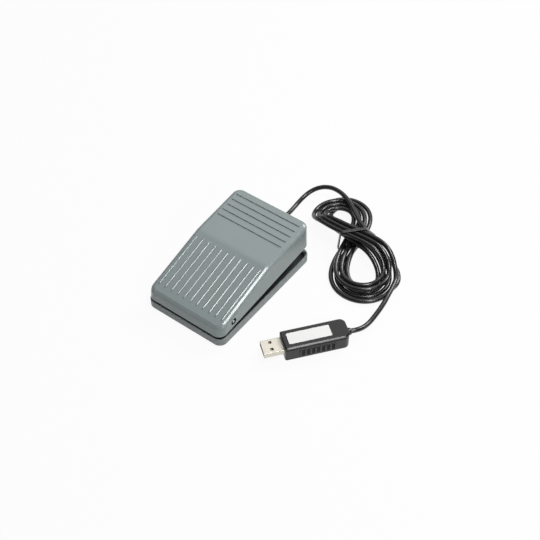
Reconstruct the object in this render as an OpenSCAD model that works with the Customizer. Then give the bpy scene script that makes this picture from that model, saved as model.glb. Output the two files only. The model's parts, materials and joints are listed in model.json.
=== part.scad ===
// USB foot pedal switch: a hinged pedal on a low base, with a micro switch inside,
// and a corded USB plug. Millimetres, +Z up, origin under the middle of the base.

/* [Base] */
// Width of the base
base_width = 66; // [62:1:80]
// Length of the base
base_length = 104; // [100:1:124]
// Height of the base's wall, without the feet
base_height = 7; // [7:0.5:10]
// Thickness of the base's wall
base_wall = 2.2; // [1.6:0.1:3]
// Thickness of the base's floor
base_floor = 2; // [1.8:0.1:3]
// Corner radius of the base, seen from above
corner_radius = 6; // [5:0.5:9]
// Width of the chamfer under the base
base_chamfer = 0.6; // [0.3:0.1:1.2]

/* [Feet] */
// Diameter of a rubber foot
foot_diameter = 10; // [7:0.5:12]
// How far a foot stands out below the base
foot_height = 1; // [0.6:0.1:2]
// How deep a foot sits in the base
foot_depth = 0.8; // [0.4:0.1:1]
// From the base's edges to a foot's centre
foot_inset = 9; // [8:0.5:11]

/* [Pedal cover] */
// Wall thickness of the cover
cover_wall = 2.2; // [1.8:0.1:2.6]
// Height of the top's front edge above the base's underside
front_height = 16.3; // [15.5:0.1:18]
// Height of the crease in the top above the base's underside
crease_height = 31.8; // [31:0.1:34]
// Height of the top's rear edge above the base's underside
rear_height = 36.2; // [35.6:0.1:40]
// From the base's front edge to the crease
crease_place = 56; // [53:0.5:60]
// How much the cover's walls lean in from bottom to top
cover_draft = 0.6; // [0.6:0.1:2]
// Radius of the cover's upper edges
edge_radius = 2.4; // [1.6:0.1:3.5]
// How far the cover's lower edge stands inside the base's edge
cover_setback = 0.3; // [0.1:0.1:1]
// Gap between the base's rim and the cover with the pedal down
rim_gap = 2; // [1.6:0.1:3]

/* [Grip ribs] */
// Number of lengthwise ribs on the front slope
rib_count = 11; // [5:2:11]
// Distance between rib centres
rib_pitch = 5.5; // [4:0.1:5.6]
// Width of a rib
rib_width = 1.6; // [1:0.1:2.4]
// Height of a rib above the cover
rib_height = 0.7; // [0.4:0.1:1.2]
// Length of a lengthwise rib
rib_length = 45.4; // [30:0.2:46]
// From the base's front edge to the lengthwise ribs
rib_start = 7; // [6:0.2:9]
// Number of cross ribs on the rear plate
cross_rib_count = 5; // [2:1:5]
// Length of a cross rib
cross_rib_length = 56; // [40:1:56]
// From the base's rear edge to the first cross rib's centre
cross_rib_setback = 29.2; // [28:0.2:32]

/* [Hinge] */
// Diameter of the hinge pin
pin_diameter = 3; // [2.4:0.1:3.2]
// From the base's front edge to the hinge pin
pin_place = 15; // [14:0.5:17]
// Height of the hinge pin above the base's underside
pin_height = 13.9; // [13:0.1:14.4]
// How far the pedal turns, in degrees
pedal_travel = 4.5; // [3:0.5:4.5]
// Wall round the pin in the base's ears
ear_wall = 1.5; // [1.2:0.1:1.8]
// Thickness of an ear
ear_thickness = 4; // [3:0.5:5]
// Diameter of the round hole over the pin's end
pin_hole_diameter = 4.2; // [3.8:0.1:5]

/* [Return spring] */
// Outer diameter of the spring
spring_diameter = 10; // [8:0.5:11]
// Diameter of the spring wire
spring_wire = 1; // [0.8:0.1:1.2]
// Number of coils
spring_coils = 8; // [5:1:9]
// From the base's rear edge to the spring's centre
spring_setback = 24; // [21:0.5:25]
// Wall of the spring's cup and tower
cup_wall = 1.6; // [1.2:0.1:2]
// Height of the spring cup above the base's floor
cup_height = 5; // [3:0.5:6]

/* [Micro switch] */
// Length of the switch case
switch_length = 27.8; // [27.8:0.1:29]
// Thickness of the switch case with its lid
switch_thickness = 10.3; // [10:0.1:11]
// Height of the switch case
switch_height = 15.9; // [15.9:0.1:16.4]
// Wall of the switch case and thickness of its lid
switch_wall = 1.3; // [1.1:0.1:1.5]
// From the base's rear edge to the switch's front end
switch_setback = 52; // [50:0.5:54]
// From the base's left edge to the middle of the switch
switch_inset = 17; // [16.5:0.1:17.5]
// Height of the switch above the base's floor
switch_lift = 4.5; // [4:0.1:4.8]
// Diameter of the two fixing holes
switch_hole = 3.1; // [2.9:0.1:3.2]
// Thickness of the lever
lever_thickness = 0.5; // [0.4:0.1:0.6]
// Width of the lever
lever_width = 4; // [3:0.5:5]
// Length of the lever from its pivot
lever_length = 22; // [20:0.5:23]
// From the lever's pivot back to the pedal's nub that presses it
nub_reach = 17; // [16:0.1:18]
// Diameter of the plunger
plunger_diameter = 3; // [2.4:0.1:3.4]
// Thickness of the bracket's sheet
bracket_sheet = 1.2; // [1:0.1:1.5]

/* [Cord] */
// Diameter of the cord
cord_diameter = 3.5; // [3.2:0.1:3.6]
// Diameter of a wire inside the pedal and the plug
wire_diameter = 1.2; // [1:0.1:1.3]
// Length of the strain relief behind the base
grommet_length = 14; // [12:1:20]

/* [Hank] */
// Half length of the loops that lie on the floor
loop_half_length = 46.5; // [46:0.5:50]
// How much shorter the loops above them are at each end
loop_shortening = 4; // [3:0.5:4.5]
// Half width of a loop's end
loop_spread = 15.6; // [15.4:0.2:18]
// Step from loop to loop, side by side
loop_pitch = 4.1; // [4.1:0.1:4.4]
// Step from layer to layer
layer_pitch = 4.6; // [4.6:0.1:5]
// Thickness of the tie's band
tie_thickness = 0.8; // [0.6:0.1:1.2]
// Width of the tie's band
tie_width = 2.6; // [2:0.1:4]

/* [Plug] */
// Length of the plug's housing
plug_length = 45.5; // [42:0.5:52]
// Width of the plug's housing
plug_width = 16.3; // [15.6:0.1:18]
// Height of the plug's housing
plug_height = 12.5; // [12.2:0.1:14]
// Height of the lid on the housing
lid_height = 2.1; // [1.8:0.1:2.4]
// Wall of the housing
plug_wall = 1.5; // [1.2:0.1:1.6]
// Corner radius at the housing's cord end
plug_cord_radius = 4; // [2:0.5:5]
// Corner radius at the housing's USB end
plug_front_radius = 1.5; // [1:0.1:2]
// Number of grip bars on each side
bar_count = 8; // [3:1:8]
// Distance between grip bars
bar_pitch = 3.5; // [2.8:0.1:3.5]
// Length of the label on the lid
label_length = 30; // [20:1:34]
// Width of the label on the lid
label_width = 9.4; // [6:0.2:11]
// Width of the USB shell
usb_width = 12; // [12:0.1:12.2]
// Height of the USB shell
usb_height = 4.5; // [4.5:0.1:4.6]
// Length of the USB shell outside the housing
usb_length = 14; // [12:0.5:16]

/* [Fits] */
// Clearance all round a part that turns or slides
running_clearance = 0.05; // [0.02:0.01:0.08]
// Clearance all round a part that is fixed in its hole
fixed_clearance = 0.02; // [0.01:0.01:0.04]
// Gap between parts that stand next to each other
side_gap = 0.3; // [0.2:0.05:0.4]

/* [Hidden] */

$fn = 48;
hull_fn = 32;
overlap = 0.5;
far = 300;

// Levels and edges of the base
under = foot_height;
floor_top = under + base_floor;
rim = under + base_height;
half_width = base_width / 2;
front = -base_length / 2;
rear = base_length / 2;

// Feet: name and the corner where each one sits
FEET = [
    ["front_left_foot", -1, -1], ["front_right_foot", 1, -1],
    ["rear_left_foot", -1, 1], ["rear_right_foot", 1, 1]
];
foot_x = half_width - foot_inset;
foot_y = rear - foot_inset;

// Hinge
pin_y = front + pin_place;
pin_z = under + pin_height;
pin_radius = pin_diameter / 2;
ear_radius = pin_radius + ear_wall;
pin_recess = 0.6;
pin_half = half_width - cover_setback - cover_draft - pin_recess;
boss_length = 2.2;
cover_inside = half_width - cover_setback - cover_draft - cover_wall;
boss_inner = cover_inside - boss_length;
ear_outer = boss_inner - side_gap;
hole_depth = 0.9;

// The two planes of the cover's top, given by their height at a place along Y
crease_y = front + crease_place;
top_front_y = front + cover_setback + cover_draft;
top_rear_y = rear - cover_setback - cover_draft;
front_slope = (crease_height - front_height) / (crease_y - top_front_y);
rear_slope = (rear_height - crease_height) / (top_rear_y - crease_y);
front_angle = atan(front_slope);
rear_angle = atan(rear_slope);
function front_plane(y) = under + crease_height + (y - crease_y) * front_slope;
function rear_plane(y) = under + crease_height + (y - crease_y) * rear_slope;
function ceiling(y) =
    min(front_plane(y) - cover_wall / cos(front_angle), rear_plane(y) - cover_wall / cos(rear_angle));
inner_edge_radius = 0.8;

// How far a point of the pedal goes down, and back, when the pedal is pressed
function pressed_drop(y, z) =
    (y - pin_y) * sin(pedal_travel) + (z - pin_z) * (1 - cos(pedal_travel));

// Spring cup on the floor and the tower above it, which also stops the pedal
spring_y = rear - spring_setback;
spring_outer = spring_diameter / 2;
spring_radius = (spring_diameter - spring_wire) / 2;
cup_bore = spring_outer + side_gap;
cup_radius = cup_bore + cup_wall;
cup_top = floor_top + cup_height;
tower_bottom = cup_top + side_gap + pressed_drop(spring_y + cup_radius, cup_top + side_gap);
tower_top = ceiling(spring_y - cup_radius) - side_gap;
seat_gap = 0.05;
spring_bottom = floor_top + seat_gap + spring_wire / 2;
spring_top = tower_top - seat_gap - spring_wire / 2;
curl_rings = 8;
form_sides = 6;

// Lip under the cover's front that stops the pedal at rest
lip_width = 16;
lip_thickness = 2;
lip_front = front + base_wall + 2;
lip_gap = 0.15;

// Micro switch, measured from its own lower front corner
switch_x = -half_width + switch_inset;
switch_y = rear - switch_setback;
switch_z = floor_top + switch_lift;
switch_top = switch_z + switch_height;
case_left = switch_x - switch_thickness / 2;
case_right = switch_x + switch_thickness / 2;
lid_left = case_right - switch_wall;
hole_spacing = 22.2;
hole_rise = 10.3;
hole_edge = 2.8;
hole_wall = 1.2;
switch_holes = [[hole_edge, hole_edge], [hole_edge + hole_spacing, hole_edge + hole_rise]];
lever_pivot = [hole_edge, switch_height + 1.1];
lever_pin_radius = 0.6;
lever_barrel = 1.0;
lever_ear_thickness = 1.2;
lever_ear_wall = 0.8;
plunger_place = hole_edge + 6.5;
plunger_radius = plunger_diameter / 2;
plunger_gap = 0.12;
plunger_flange = 0.7;
plunger_flange_height = 1;
plunger_nib_radius = 0.8;
plunger_nib_height = 0.6;

// The pedal's nub, and the angle at which the lever stands so that it passes just under the nub
nub_radius = 1.5;
nub_gap = 0.2;
nub_width = 6;
nub_sink = 0.7;
nub_y = switch_y + lever_pivot[0] + nub_reach;
nub_z = ceiling(nub_y) - nub_sink;
nub_rise = nub_z - switch_z - lever_pivot[1];
lever_angle = atan(nub_rise / nub_reach)
    - asin((nub_radius + nub_gap + lever_thickness / 2) / norm([nub_reach, nub_rise]));

// Height of the lever's middle above the switch's underside, at a distance behind its pivot
function lever_height(behind) = lever_pivot[1] + behind * tan(lever_angle);
lever_half = lever_thickness / 2 / cos(lever_angle);
plunger_tip = lever_height(plunger_place - lever_pivot[0]) - lever_half - plunger_gap
    - plunger_radius * (1 / cos(lever_angle) - 1);
plunger_ceiling = switch_height - switch_wall - side_gap;
plunger_foot = plunger_ceiling - plunger_flange_height;
blade_thickness = 0.4;
blade_width = 3;
blade_gap = 0.15;
blade_place = 20.8;
blade_pivot = [blade_place, plunger_foot - plunger_nib_height - blade_gap - blade_thickness / 2];
blade_tip = 6.4;
blade_barrel = 0.7;
blade_drop = 2.4;
stud_gap = 0.15;
stud_radius = 1;
lug_width = 3;
lug_thickness = 0.8;
lug_length = 4;
lug_first = 7.6;
lug_second = 14;
lug_places = [lug_first, lug_second, blade_pivot[0]];
guard_gap = 0.6;
guard_foot = 0.5;
guard_step = 1;

// Bracket that carries the switch, with its foot on two bosses
plate_left = case_left - bracket_sheet;
foot_end = 8.2;
foot_screw_aside = 4.4;
foot_screw_inset = 7;
foot_screw_x = plate_left - foot_screw_aside;
foot_screw_y = [switch_y + foot_screw_inset, switch_y + switch_length - foot_screw_inset];
boss_radius = 3;
boss_height = 2;
foot_bottom = floor_top + boss_height;
screw_radius = 1.2;
screw_head_radius = 2.3;
screw_head = 1.6;
screw_bite = 1.2;
nut_radius = 3.1;
nut_thickness = 2.4;

// Cord, its clamp and its grommet
cord_radius = cord_diameter / 2;
cord_aside = 5;
cord_lift = 0.25;
cord_setback = 16;
cord_x = -cord_aside;
cord_z = floor_top + cord_radius + cord_lift;
cord_inside = rear - cord_setback;
grommet_neck = cord_radius + 0.9;
grommet_flange = cord_radius + 1.3;
grommet_flange_length = 1.5;
grommet_tip = cord_radius + 0.6;
grommet_end = rear + grommet_length;
clamp_setback = 12;
clamp_y = rear - clamp_setback;
clamp_length = 6;
clamp_roof = 1.4;
clamp_side = 3.6;
clamp_half = cord_radius + fixed_clearance + 2 * clamp_side;
clamp_top = cord_z + cord_radius + clamp_roof;
clamp_screw = clamp_half - clamp_side;

// Signal wires from the cord round the spring cup to the outer two terminals
wire_spread = 0.9;
wire_straight = 1;
wire_bend = 2.4;
wire_z = cord_z;
inner_lane = cup_radius + side_gap + wire_diameter / 2;
outer_lane = inner_lane + wire_diameter + side_gap;
lug_right = switch_x + lug_width / 2;
function terminal_y(i) = switch_y + lug_places[i];
function round_cup(lane, a) = [lane * cos(a), spring_y + lane * sin(a), wire_z];
function from_cord(side) =
    [for (run = [0, wire_straight]) [cord_x + side * wire_spread, cord_inside - run, wire_z]];
rear_lug_y = terminal_y(2);
front_lug_y = terminal_y(0);
function to_lug(x, y) = [
    [x, y + 1.5 * wire_bend, wire_z], [x - wire_bend / 2, y + wire_bend / 3, wire_z],
    [lug_right + wire_bend, y, wire_z], [lug_right, y, wire_z]
];
wire_paths = [
    concat(
        from_cord(-1),
        [for (a = [138 : 14 : 180]) round_cup(outer_lane, a)],
        to_lug(-outer_lane, rear_lug_y)
    ),
    concat(
        from_cord(1),
        [for (a = [128 : 17 : 180]) round_cup(inner_lane, a)],
        [[-inner_lane, rear_lug_y, wire_z]],
        to_lug(-inner_lane, front_lug_y)
    )
];

// Hank: place of its middle and direction of its long axis, then the tilt and the shift of its two layers
hank_x = 51.3;
hank_behind = 27.5;
hank_y = rear + hank_behind;
hank_turn = -42;
layer_tilts = [-3, 5];
layer_shifts = [[0, 1], [1, -2]];
first_turn = -1 / 12;
last_turn = 5 + 7 / 8;
turns_below = 3;
climb = 0.26;
outer_step = 1.75;
end_roundness = 0.08;
crossing_reach = 13;
crossing_end = 39;
loop_rings = 24;
tie_gap = 0.15;
waist_lift = tie_thickness + tie_gap;

// The cord winds inwards in figures of eight on the floor, climbs and winds back out above them.
// Where they cross at the waist, half of the strands lie over the other half.
function ramp(v, a, b) = min(max((v - a) / (b - a), 0), 1);
function ease(v, a, b) = let (r = ramp(v, a, b)) r * r * (3 - 2 * r);
function blend(pair, share) = pair[0] * (1 - share) + pair[1] * share;
function spin(p, a) = [p[0] * cos(a) - p[1] * sin(a), p[0] * sin(a) + p[1] * cos(a)];
function hank_layer(turn) = ease(turn, turns_below, turns_below + climb);
function hank_step(turn) = min(turn, 2 * turns_below - turn) - outer_step;
function loop_point(a, half) = [half * cos(a), loop_spread * (end_roundness * sin(4 * a) - sin(2 * a))];
function loop_normal(a, half) =
    let (d = loop_point(a - 1, half) - loop_point(a + 1, half)) [-d[1], d[0]] / norm(d);
function hank_spot(turn) =
    let (
        a = 360 * turn, layer = hank_layer(turn), half = loop_half_length - loop_shortening * layer,
        p = loop_point(a, half) + loop_normal(a, half) * loop_pitch * hank_step(turn),
        q = spin(p, blend(layer_tilts, layer)) + blend(layer_shifts, layer),
        over = sin(a) < 0 ? 2 - 2 * ease(abs(q[0]), crossing_reach, crossing_end) : 0,
        lift = waist_lift * (1 - ease(abs(q[0]), tie_width, crossing_end))
    )
    [q[0], q[1], cord_radius + layer_pitch * (layer + over) + lift];
function hank_place(p) =
    let (q = spin(p, hank_turn)) [hank_x + q[0], hank_y + q[1], p[2]];
function hank_point(turn) = hank_place(hank_spot(turn));
hank_turns = [for (i = [0 : round((last_turn - first_turn) * loop_rings)]) first_turn + i / loop_rings];
hank_line = [for (turn = hank_turns) hank_point(turn)];
function unit(v) = v / norm(v);
hank_in = unit(hank_point(first_turn + 0.01) - hank_point(first_turn));
hank_out = unit(hank_point(last_turn) - hank_point(last_turn - 0.01));
hank_start = hank_line[0] - hank_in * cord_diameter;
hank_end = hank_line[len(hank_line) - 1] + hank_out * cord_diameter;
hank_path = concat([hank_start], hank_line, [hank_end]);

// Least gap between stretches of the hank that aren't next to each other along the cord
near_rings = 4;
hank_gap = min([
    for (i = [0 : len(hank_path) - 1]) for (j = [i + near_rings : 1 : len(hank_path) - 1])
        norm(hank_path[i] - hank_path[j])
]) - cord_diameter;
spring_gap = (spring_top - spring_bottom) / spring_coils - spring_wire;
echo(hank_least_gap = hank_gap, spring_least_gap = spring_gap);

// Plug: place of its USB end and its direction
plug_x = 66.8;
plug_y = -28.9;
plug_turn = 52;
collar_length = 3;
function plug_place(along, aside, z) = [
    plug_x + along * cos(plug_turn) - aside * sin(plug_turn),
    plug_y + along * sin(plug_turn) + aside * cos(plug_turn), z
];
seam_gap = 0.1;
seam = plug_height - lid_height - seam_gap;
lid_bevel = 0.6;
lid_lip = 0.7;
lip_wall = 1;
board_thickness = 1.2;
board_start = 2.4;
board_end_gap = 4.5;
board_side_gap = 0.5;
board_length = plug_length - plug_wall - board_start - board_end_gap;
board_width = plug_width - 2 * (plug_wall + board_side_gap);
board_top = 4.6;
board_bottom = board_top - board_thickness;
rail_width = 1.6;
usb_z = board_top + usb_height / 2 + fixed_clearance;
usb_inside = 7;
usb_sheet = 0.3;
usb_corner = 0.7;
tongue_thickness = 1.9;
tongue_length = usb_length - 1.5;
contact_thickness = 0.15;
contact_width = 1;
contact_pitch = 2.2;
plug_cord_gap = 0.05;
plug_cord_z = board_top + cord_radius + plug_cord_gap;
plug_cord_start = board_start + board_length + wire_straight;
plug_exit = plug_length + collar_length;
collar_neck = cord_radius + 0.7;
collar_flange = cord_radius + 1.1;
collar_flange_length = 1;
collar_tip = cord_radius + 0.5;
bar_width = 1.7;
bar_proud = 0.5;
bar_bottom = 2;
bar_height = 5.8;
bar_start = 10.6;
label_start = 3.6;
label_thickness = 0.15;
label_corner = 0.8;
least_corner = 0.3;
window = 2.2;
window_place = 5;

// Parts on the board, placed from its USB end and its middle
chip_place = 12.5;
chip_size = [6, 4];
chip_lift = 0.1;
chip_top = 1.6;
leg_count = 4;
leg_pitch = 1.27;
leg_size = [0.4, 1.2, 0.5];
crystal_place = 20;
crystal_size = [4.4, 9];
crystal_corner = 2;
crystal_height = 3.2;
small_part = [1.2, 2, 0.7];
small_part_places = [[8, 3.6], [8, -3.6], [16.8, 3.4], [16.8, -3.4], [24.5, 3.2], [24.5, -3.2]];

// Cord routes outside the hank, through points chosen by hand: the lead's first ones are measured from
// the base's rear, the rest from the hank's middle, where it runs down over the loops and through the tie
lead_bends = [
    [-5, 18, 5], [-5.2, 23, 4.3], [-5.8, 29, 3.2], [-6.5, 35, 2.6], [-6.8, 41, 2.9],
    [-6.3, 47, 4.1], [-4.3, 53, 6.2], [0, 58, 8.6], [6, 61, 10.3], [13, 61.6, 11.2]
];
lead_tied = [[-2, 12.7, 10.2], [2, 14.5, 8.6]];
lead_over = concat(
    [[-43, 4.5, 11.2], [-35, 6.5, 11], [-27, 7.5, 11], [-19, 8.2, 11.2], [-10, 9.6, 11.4]],
    lead_tied,
    [[6, 16.6, 6.4], [12, 19.6, 3.6], [19, 22.8, 2], [27, 25, 1.8], [34.5, 25, 1.8]]
);
lead_path = concat(
    [[cord_x, grommet_end, cord_z]],
    [for (p = lead_bends) p + [0, rear, 0]],
    [for (p = lead_over) hank_place(p)],
    [hank_start - hank_in * cord_diameter, hank_start]
);
// The tail's first bends are measured from the hank's middle, the last ones from the plug's cord end
tail_bends = [[40, 21.2, 5.6], [47, 17, 5.6], [53.6, 12, 5.5], [60, 7, 5.1]];
tail_to_plug = [[19, 8.5, 4.4], [14.5, 5, 4.4], [10.3, 2.3, 5.1], [6.8, 0.7, 5.9]];
tail_path = concat(
    [hank_end, hank_end + hank_out * cord_radius],
    [for (p = tail_bends) hank_place(p)],
    [for (p = tail_to_plug) plug_place(plug_exit + p[0], p[1], p[2])],
    [plug_place(plug_exit + cord_diameter, 0, plug_cord_z), plug_place(plug_exit, 0, plug_cord_z)]
);
tube_sides = 8;

// Colours
cover_grey = "#8d9696";
base_grey = "#858c8c";
black = "#1b1c1e";
rubber_black = "#242527";
steel = "#b9bcc0";
brass = "#c7a24f";
switch_red = "#b2352b";
board_green = "#1f6b45";
label_white = "#f2f2ee";
nickel = "#d6d0c4";

// A tube of straight pieces along a line of points, its ring turned square to the line at each point
function along(line, i) =
    unit(line[min(i + 1, len(line) - 1)] - line[max(i - 1, 0)]);
function ring(line, i, radius, sides) =
    let (t = along(line, i), s = unit(cross([0, 0, 1], t)), u = cross(t, s))
    [for (j = [0 : sides - 1]) let (a = 360 * (j + 0.5) / sides) line[i] + radius * (cos(a) * s + sin(a) * u)];
module tube(line, radius, sides) {
    last = (len(line) - 1) * sides;
    points = [for (i = [0 : len(line) - 1]) each ring(line, i, radius, sides)];
    walls = [
        for (i = [0 : len(line) - 2]) for (j = [0 : sides - 1])
            let (a = i * sides + j, b = i * sides + (j + 1) % sides)
            each [[a, a + sides, b + sides], [a, b + sides, b]]
    ];
    ends = [for (j = [1 : sides - 2]) each [[0, j, j + 1], [last, last + j + 1, last + j]]];
    polyhedron(points = points, faces = concat(walls, ends));
}

// Plain shapes that repeat
module rounded_rect(size, r) {
    square([size[0] - 2 * r, size[1]], center = true);
    square([size[0], size[1] - 2 * r], center = true);
    for (sx = [-1, 1], sy = [-1, 1])
        translate([sx * (size[0] / 2 - r), sy * (size[1] / 2 - r)])
            circle(r);
}
module slab(size, r, z0, z1) {
    translate([0, 0, z0])
        linear_extrude(z1 - z0)
            rounded_rect(size, r);
}
module block(x, y, z) {
    translate([x[0], y[0], z[0]])
        cube([x[1] - x[0], y[1] - y[0], z[1] - z[0]]);
}
module post(r, z0, z1) {
    translate([0, 0, z0])
        cylinder(r = r, h = z1 - z0);
}
module bar_x(r, x0, x1) {
    translate([x0, 0, 0])
        rotate([0, 90, 0])
            cylinder(r = r, h = x1 - x0);
}
module bar_y(r, y0, y1) {
    translate([0, y0, 0])
        rotate([-90, 0, 0])
            cylinder(r = r, h = y1 - y0);
}
module screw(head_z, tip_z) {
    post(screw_head_radius, head_z, head_z + screw_head);
    post(screw_radius, tip_z, head_z + overlap);
}

// Base
module pin_ear() {
    block([ear_outer - ear_thickness, ear_outer], [pin_y - ear_radius, pin_y + ear_radius],
        [floor_top - overlap, pin_z]);
    translate([0, pin_y, pin_z])
        bar_x(ear_radius, ear_outer - ear_thickness, ear_outer);
}
module base_tray() {
    color(base_grey)
        difference() {
            union() {
                difference() {
                    union() {
                        slab([base_width, base_length], corner_radius, under + base_chamfer, rim);
                        slab([base_width - 2 * base_chamfer, base_length - 2 * base_chamfer],
                            corner_radius - base_chamfer, under, under + base_chamfer);
                    }
                    slab([base_width - 2 * base_wall, base_length - 2 * base_wall],
                        corner_radius - base_wall, floor_top, rim + overlap);
                }
                pin_ear();
                mirror([1, 0, 0])
                    pin_ear();
                translate([0, spring_y, 0])
                    difference() {
                        post(cup_radius, floor_top - overlap, cup_top);
                        post(cup_bore, floor_top, cup_top + overlap);
                    }
                for (y = foot_screw_y)
                    translate([foot_screw_x, y, 0])
                        post(boss_radius, floor_top - overlap, foot_bottom);
            }
            translate([0, pin_y, pin_z])
                bar_x(pin_radius + fixed_clearance, -far, far);
            for (f = FEET)
                translate([f[1] * foot_x, f[2] * foot_y, 0])
                    post(foot_diameter / 2 + fixed_clearance, under - overlap, under + foot_depth);
            for (y = foot_screw_y)
                translate([foot_screw_x, y, 0])
                    post(screw_radius + fixed_clearance, foot_bottom - boss_height - screw_bite,
                        foot_bottom + overlap);
            for (side = [-1, 1])
                translate([cord_x + side * clamp_screw, clamp_y, 0])
                    post(screw_radius + fixed_clearance, floor_top - screw_bite, floor_top + overlap);
            translate([cord_x, 0, cord_z]) {
                bar_y(grommet_neck + fixed_clearance, rear - base_wall - overlap, rear + overlap);
                bar_y(grommet_flange + fixed_clearance, rear - base_wall - grommet_flange_length - side_gap,
                    rear - base_wall);
            }
        }
}
module rubber_foot(f) {
    color(rubber_black)
        translate([f[1] * foot_x, f[2] * foot_y, 0])
            post(foot_diameter / 2, 0, under + foot_depth);
}
module hinge_pin() {
    color(steel)
        translate([0, pin_y, pin_z])
            bar_x(pin_radius, -pin_half, pin_half);
}

// Cover: a closed body with rounded upper edges, drawn in by a wall thickness for its hollow
module edge_knob(r_plan, r_edge) {
    rotate_extrude($fn = hull_fn)
        translate([r_plan - r_edge, 0])
            circle(r_edge, $fn = hull_fn);
}
module cover_body(inset) {
    r_edge = max(edge_radius - inset, inner_edge_radius);
    r_plan = corner_radius - inset;
    half_top = half_width - cover_setback - cover_draft - inset;
    half_bottom = half_width - cover_setback - inset;
    y_front = top_front_y + inset;
    y_rear = top_rear_y - inset;
    drop_front = (inset + r_edge) / cos(front_angle);
    drop_rear = (inset + r_edge) / cos(rear_angle);
    knee = crease_y + (drop_front - drop_rear) / (front_slope - rear_slope);
    hull() {
        for (side = [-1, 1]) {
            translate([side * (half_top - r_plan), y_front + r_plan, front_plane(y_front + r_plan) - drop_front])
                rotate([front_angle, 0, 0])
                    edge_knob(r_plan, r_edge);
            translate([side * (half_top - r_edge), knee, front_plane(knee) - drop_front])
                sphere(r_edge, $fn = hull_fn);
            translate([side * (half_top - r_plan), y_rear - r_plan, rear_plane(y_rear - r_plan) - drop_rear])
                rotate([rear_angle, 0, 0])
                    edge_knob(r_plan, r_edge);
            translate([side * (half_bottom - r_plan), y_front - cover_draft + r_plan, rim])
                cylinder(r = r_plan, h = overlap, $fn = hull_fn);
            translate([side * (half_bottom - r_plan), y_rear + cover_draft - r_plan, rim])
                cylinder(r = r_plan, h = overlap, $fn = hull_fn);
        }
    }
}
module grip_rib(length) {
    linear_extrude(rib_height + overlap) {
        square([rib_width, length - rib_width], center = true);
        for (end = [-1, 1])
            translate([0, end * (length - rib_width) / 2])
                circle(rib_width / 2);
    }
}
module grip_ribs() {
    rib_y = front + rib_start + rib_length / 2;
    for (i = [0 : rib_count - 1])
        translate([(i - (rib_count - 1) / 2) * rib_pitch, rib_y, front_plane(rib_y)])
            rotate([front_angle, 0, 0])
                translate([0, 0, -overlap])
                    grip_rib(rib_length);
    for (i = [0 : cross_rib_count - 1])
        let (y = rear - cross_rib_setback + i * rib_pitch)
            translate([0, y, rear_plane(y)])
                rotate([rear_angle, 0, 0])
                    translate([0, 0, -overlap])
                        rotate([0, 0, 90])
                            grip_rib(cross_rib_length);
}
module hinge_boss() {
    translate([0, pin_y, pin_z])
        bar_x(ear_radius, boss_inner, cover_inside + cover_wall / 2);
}
module spring_tower() {
    translate([0, spring_y, 0])
        difference() {
            post(cup_radius, tower_bottom, ceiling(spring_y + cup_radius) + cover_wall / 4);
            post(cup_bore, tower_bottom - overlap, tower_top);
        }
}
module lever_nub() {
    left = switch_x - nub_width / 2;
    right = switch_x + nub_width / 2;
    translate([0, nub_y, nub_z])
        bar_x(nub_radius, left, right);
    block([left, right], [nub_y - nub_radius, nub_y + nub_radius],
        [nub_z, ceiling(nub_y + nub_radius) + cover_wall / 3]);
}
module rest_lip() {
    block([-lip_width / 2, lip_width / 2], [lip_front, lip_front + lip_thickness],
        [floor_top + lip_gap, ceiling(lip_front + lip_thickness) + cover_wall / 3]);
}
module pedal_cover() {
    color(cover_grey)
        difference() {
            union() {
                difference() {
                    union() {
                        cover_body(0);
                        grip_ribs();
                    }
                    cover_body(cover_wall);
                    translate([0, pin_y, pin_z])
                        rotate([pedal_travel, 0, 0])
                            block([-far, far], [-far, far], [-far, rim + rim_gap - pin_z]);
                }
                hinge_boss();
                mirror([1, 0, 0])
                    hinge_boss();
                spring_tower();
                lever_nub();
                rest_lip();
            }
            translate([0, pin_y, pin_z]) {
                bar_x(pin_radius + running_clearance, -far, far);
                for (side = [0, 1])
                    mirror([side, 0, 0])
                        bar_x(pin_hole_diameter / 2, pin_half + pin_recess - hole_depth, far);
            }
        }
}

// Return spring: one wire wound from the cup up into the tower
module return_spring() {
    rings = spring_coils * curl_rings;
    line = [
        for (i = [0 : rings])
            [
                spring_radius * cos(360 * i / curl_rings), spring_y + spring_radius * sin(360 * i / curl_rings),
                spring_bottom + (spring_top - spring_bottom) * i / rings
            ]
    ];
    color(steel)
        tube(line, spring_wire / 2, form_sides);
}

// Micro switch, drawn from its lower front corner with X across its middle
module at_switch() {
    translate([switch_x, switch_y, switch_z])
        children();
}
module hole_posts(r, x0, x1) {
    for (h = switch_holes)
        translate([0, h[0], h[1]])
            bar_x(r, x0, x1);
}
half_switch = switch_thickness / 2;
module switch_case() {
    color(black)
        at_switch()
            difference() {
                union() {
                    difference() {
                        block([-half_switch, half_switch - switch_wall], [0, switch_length], [0, switch_height]);
                        block([-half_switch + switch_wall, half_switch],
                            [switch_wall, switch_length - switch_wall], [switch_wall, switch_height - switch_wall]);
                    }
                    hole_posts(switch_hole / 2 + hole_wall, -half_switch + overlap, half_switch - switch_wall);
                    for (side = [-1, 1])
                        translate([side * (lever_width / 2 + side_gap + lever_ear_thickness / 2), 0, 0])
                            lever_ear();
                }
                hole_posts(switch_hole / 2, -far, far);
                translate([0, lever_pivot[0], lever_pivot[1]])
                    bar_x(lever_pin_radius + fixed_clearance, -far, far);
                translate([0, plunger_place, 0])
                    post(plunger_radius + running_clearance, switch_height - 2 * switch_wall, far);
                for (y = lug_places)
                    terminal_slot(y);
            }
}
module lever_ear() {
    ear = lever_pin_radius + lever_ear_wall;
    block([-lever_ear_thickness / 2, lever_ear_thickness / 2],
        [lever_pivot[0] - ear, lever_pivot[0] + ear], [switch_height - overlap, lever_pivot[1]]);
    translate([0, lever_pivot[0], lever_pivot[1]])
        bar_x(ear, -lever_ear_thickness / 2, lever_ear_thickness / 2);
}
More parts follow.
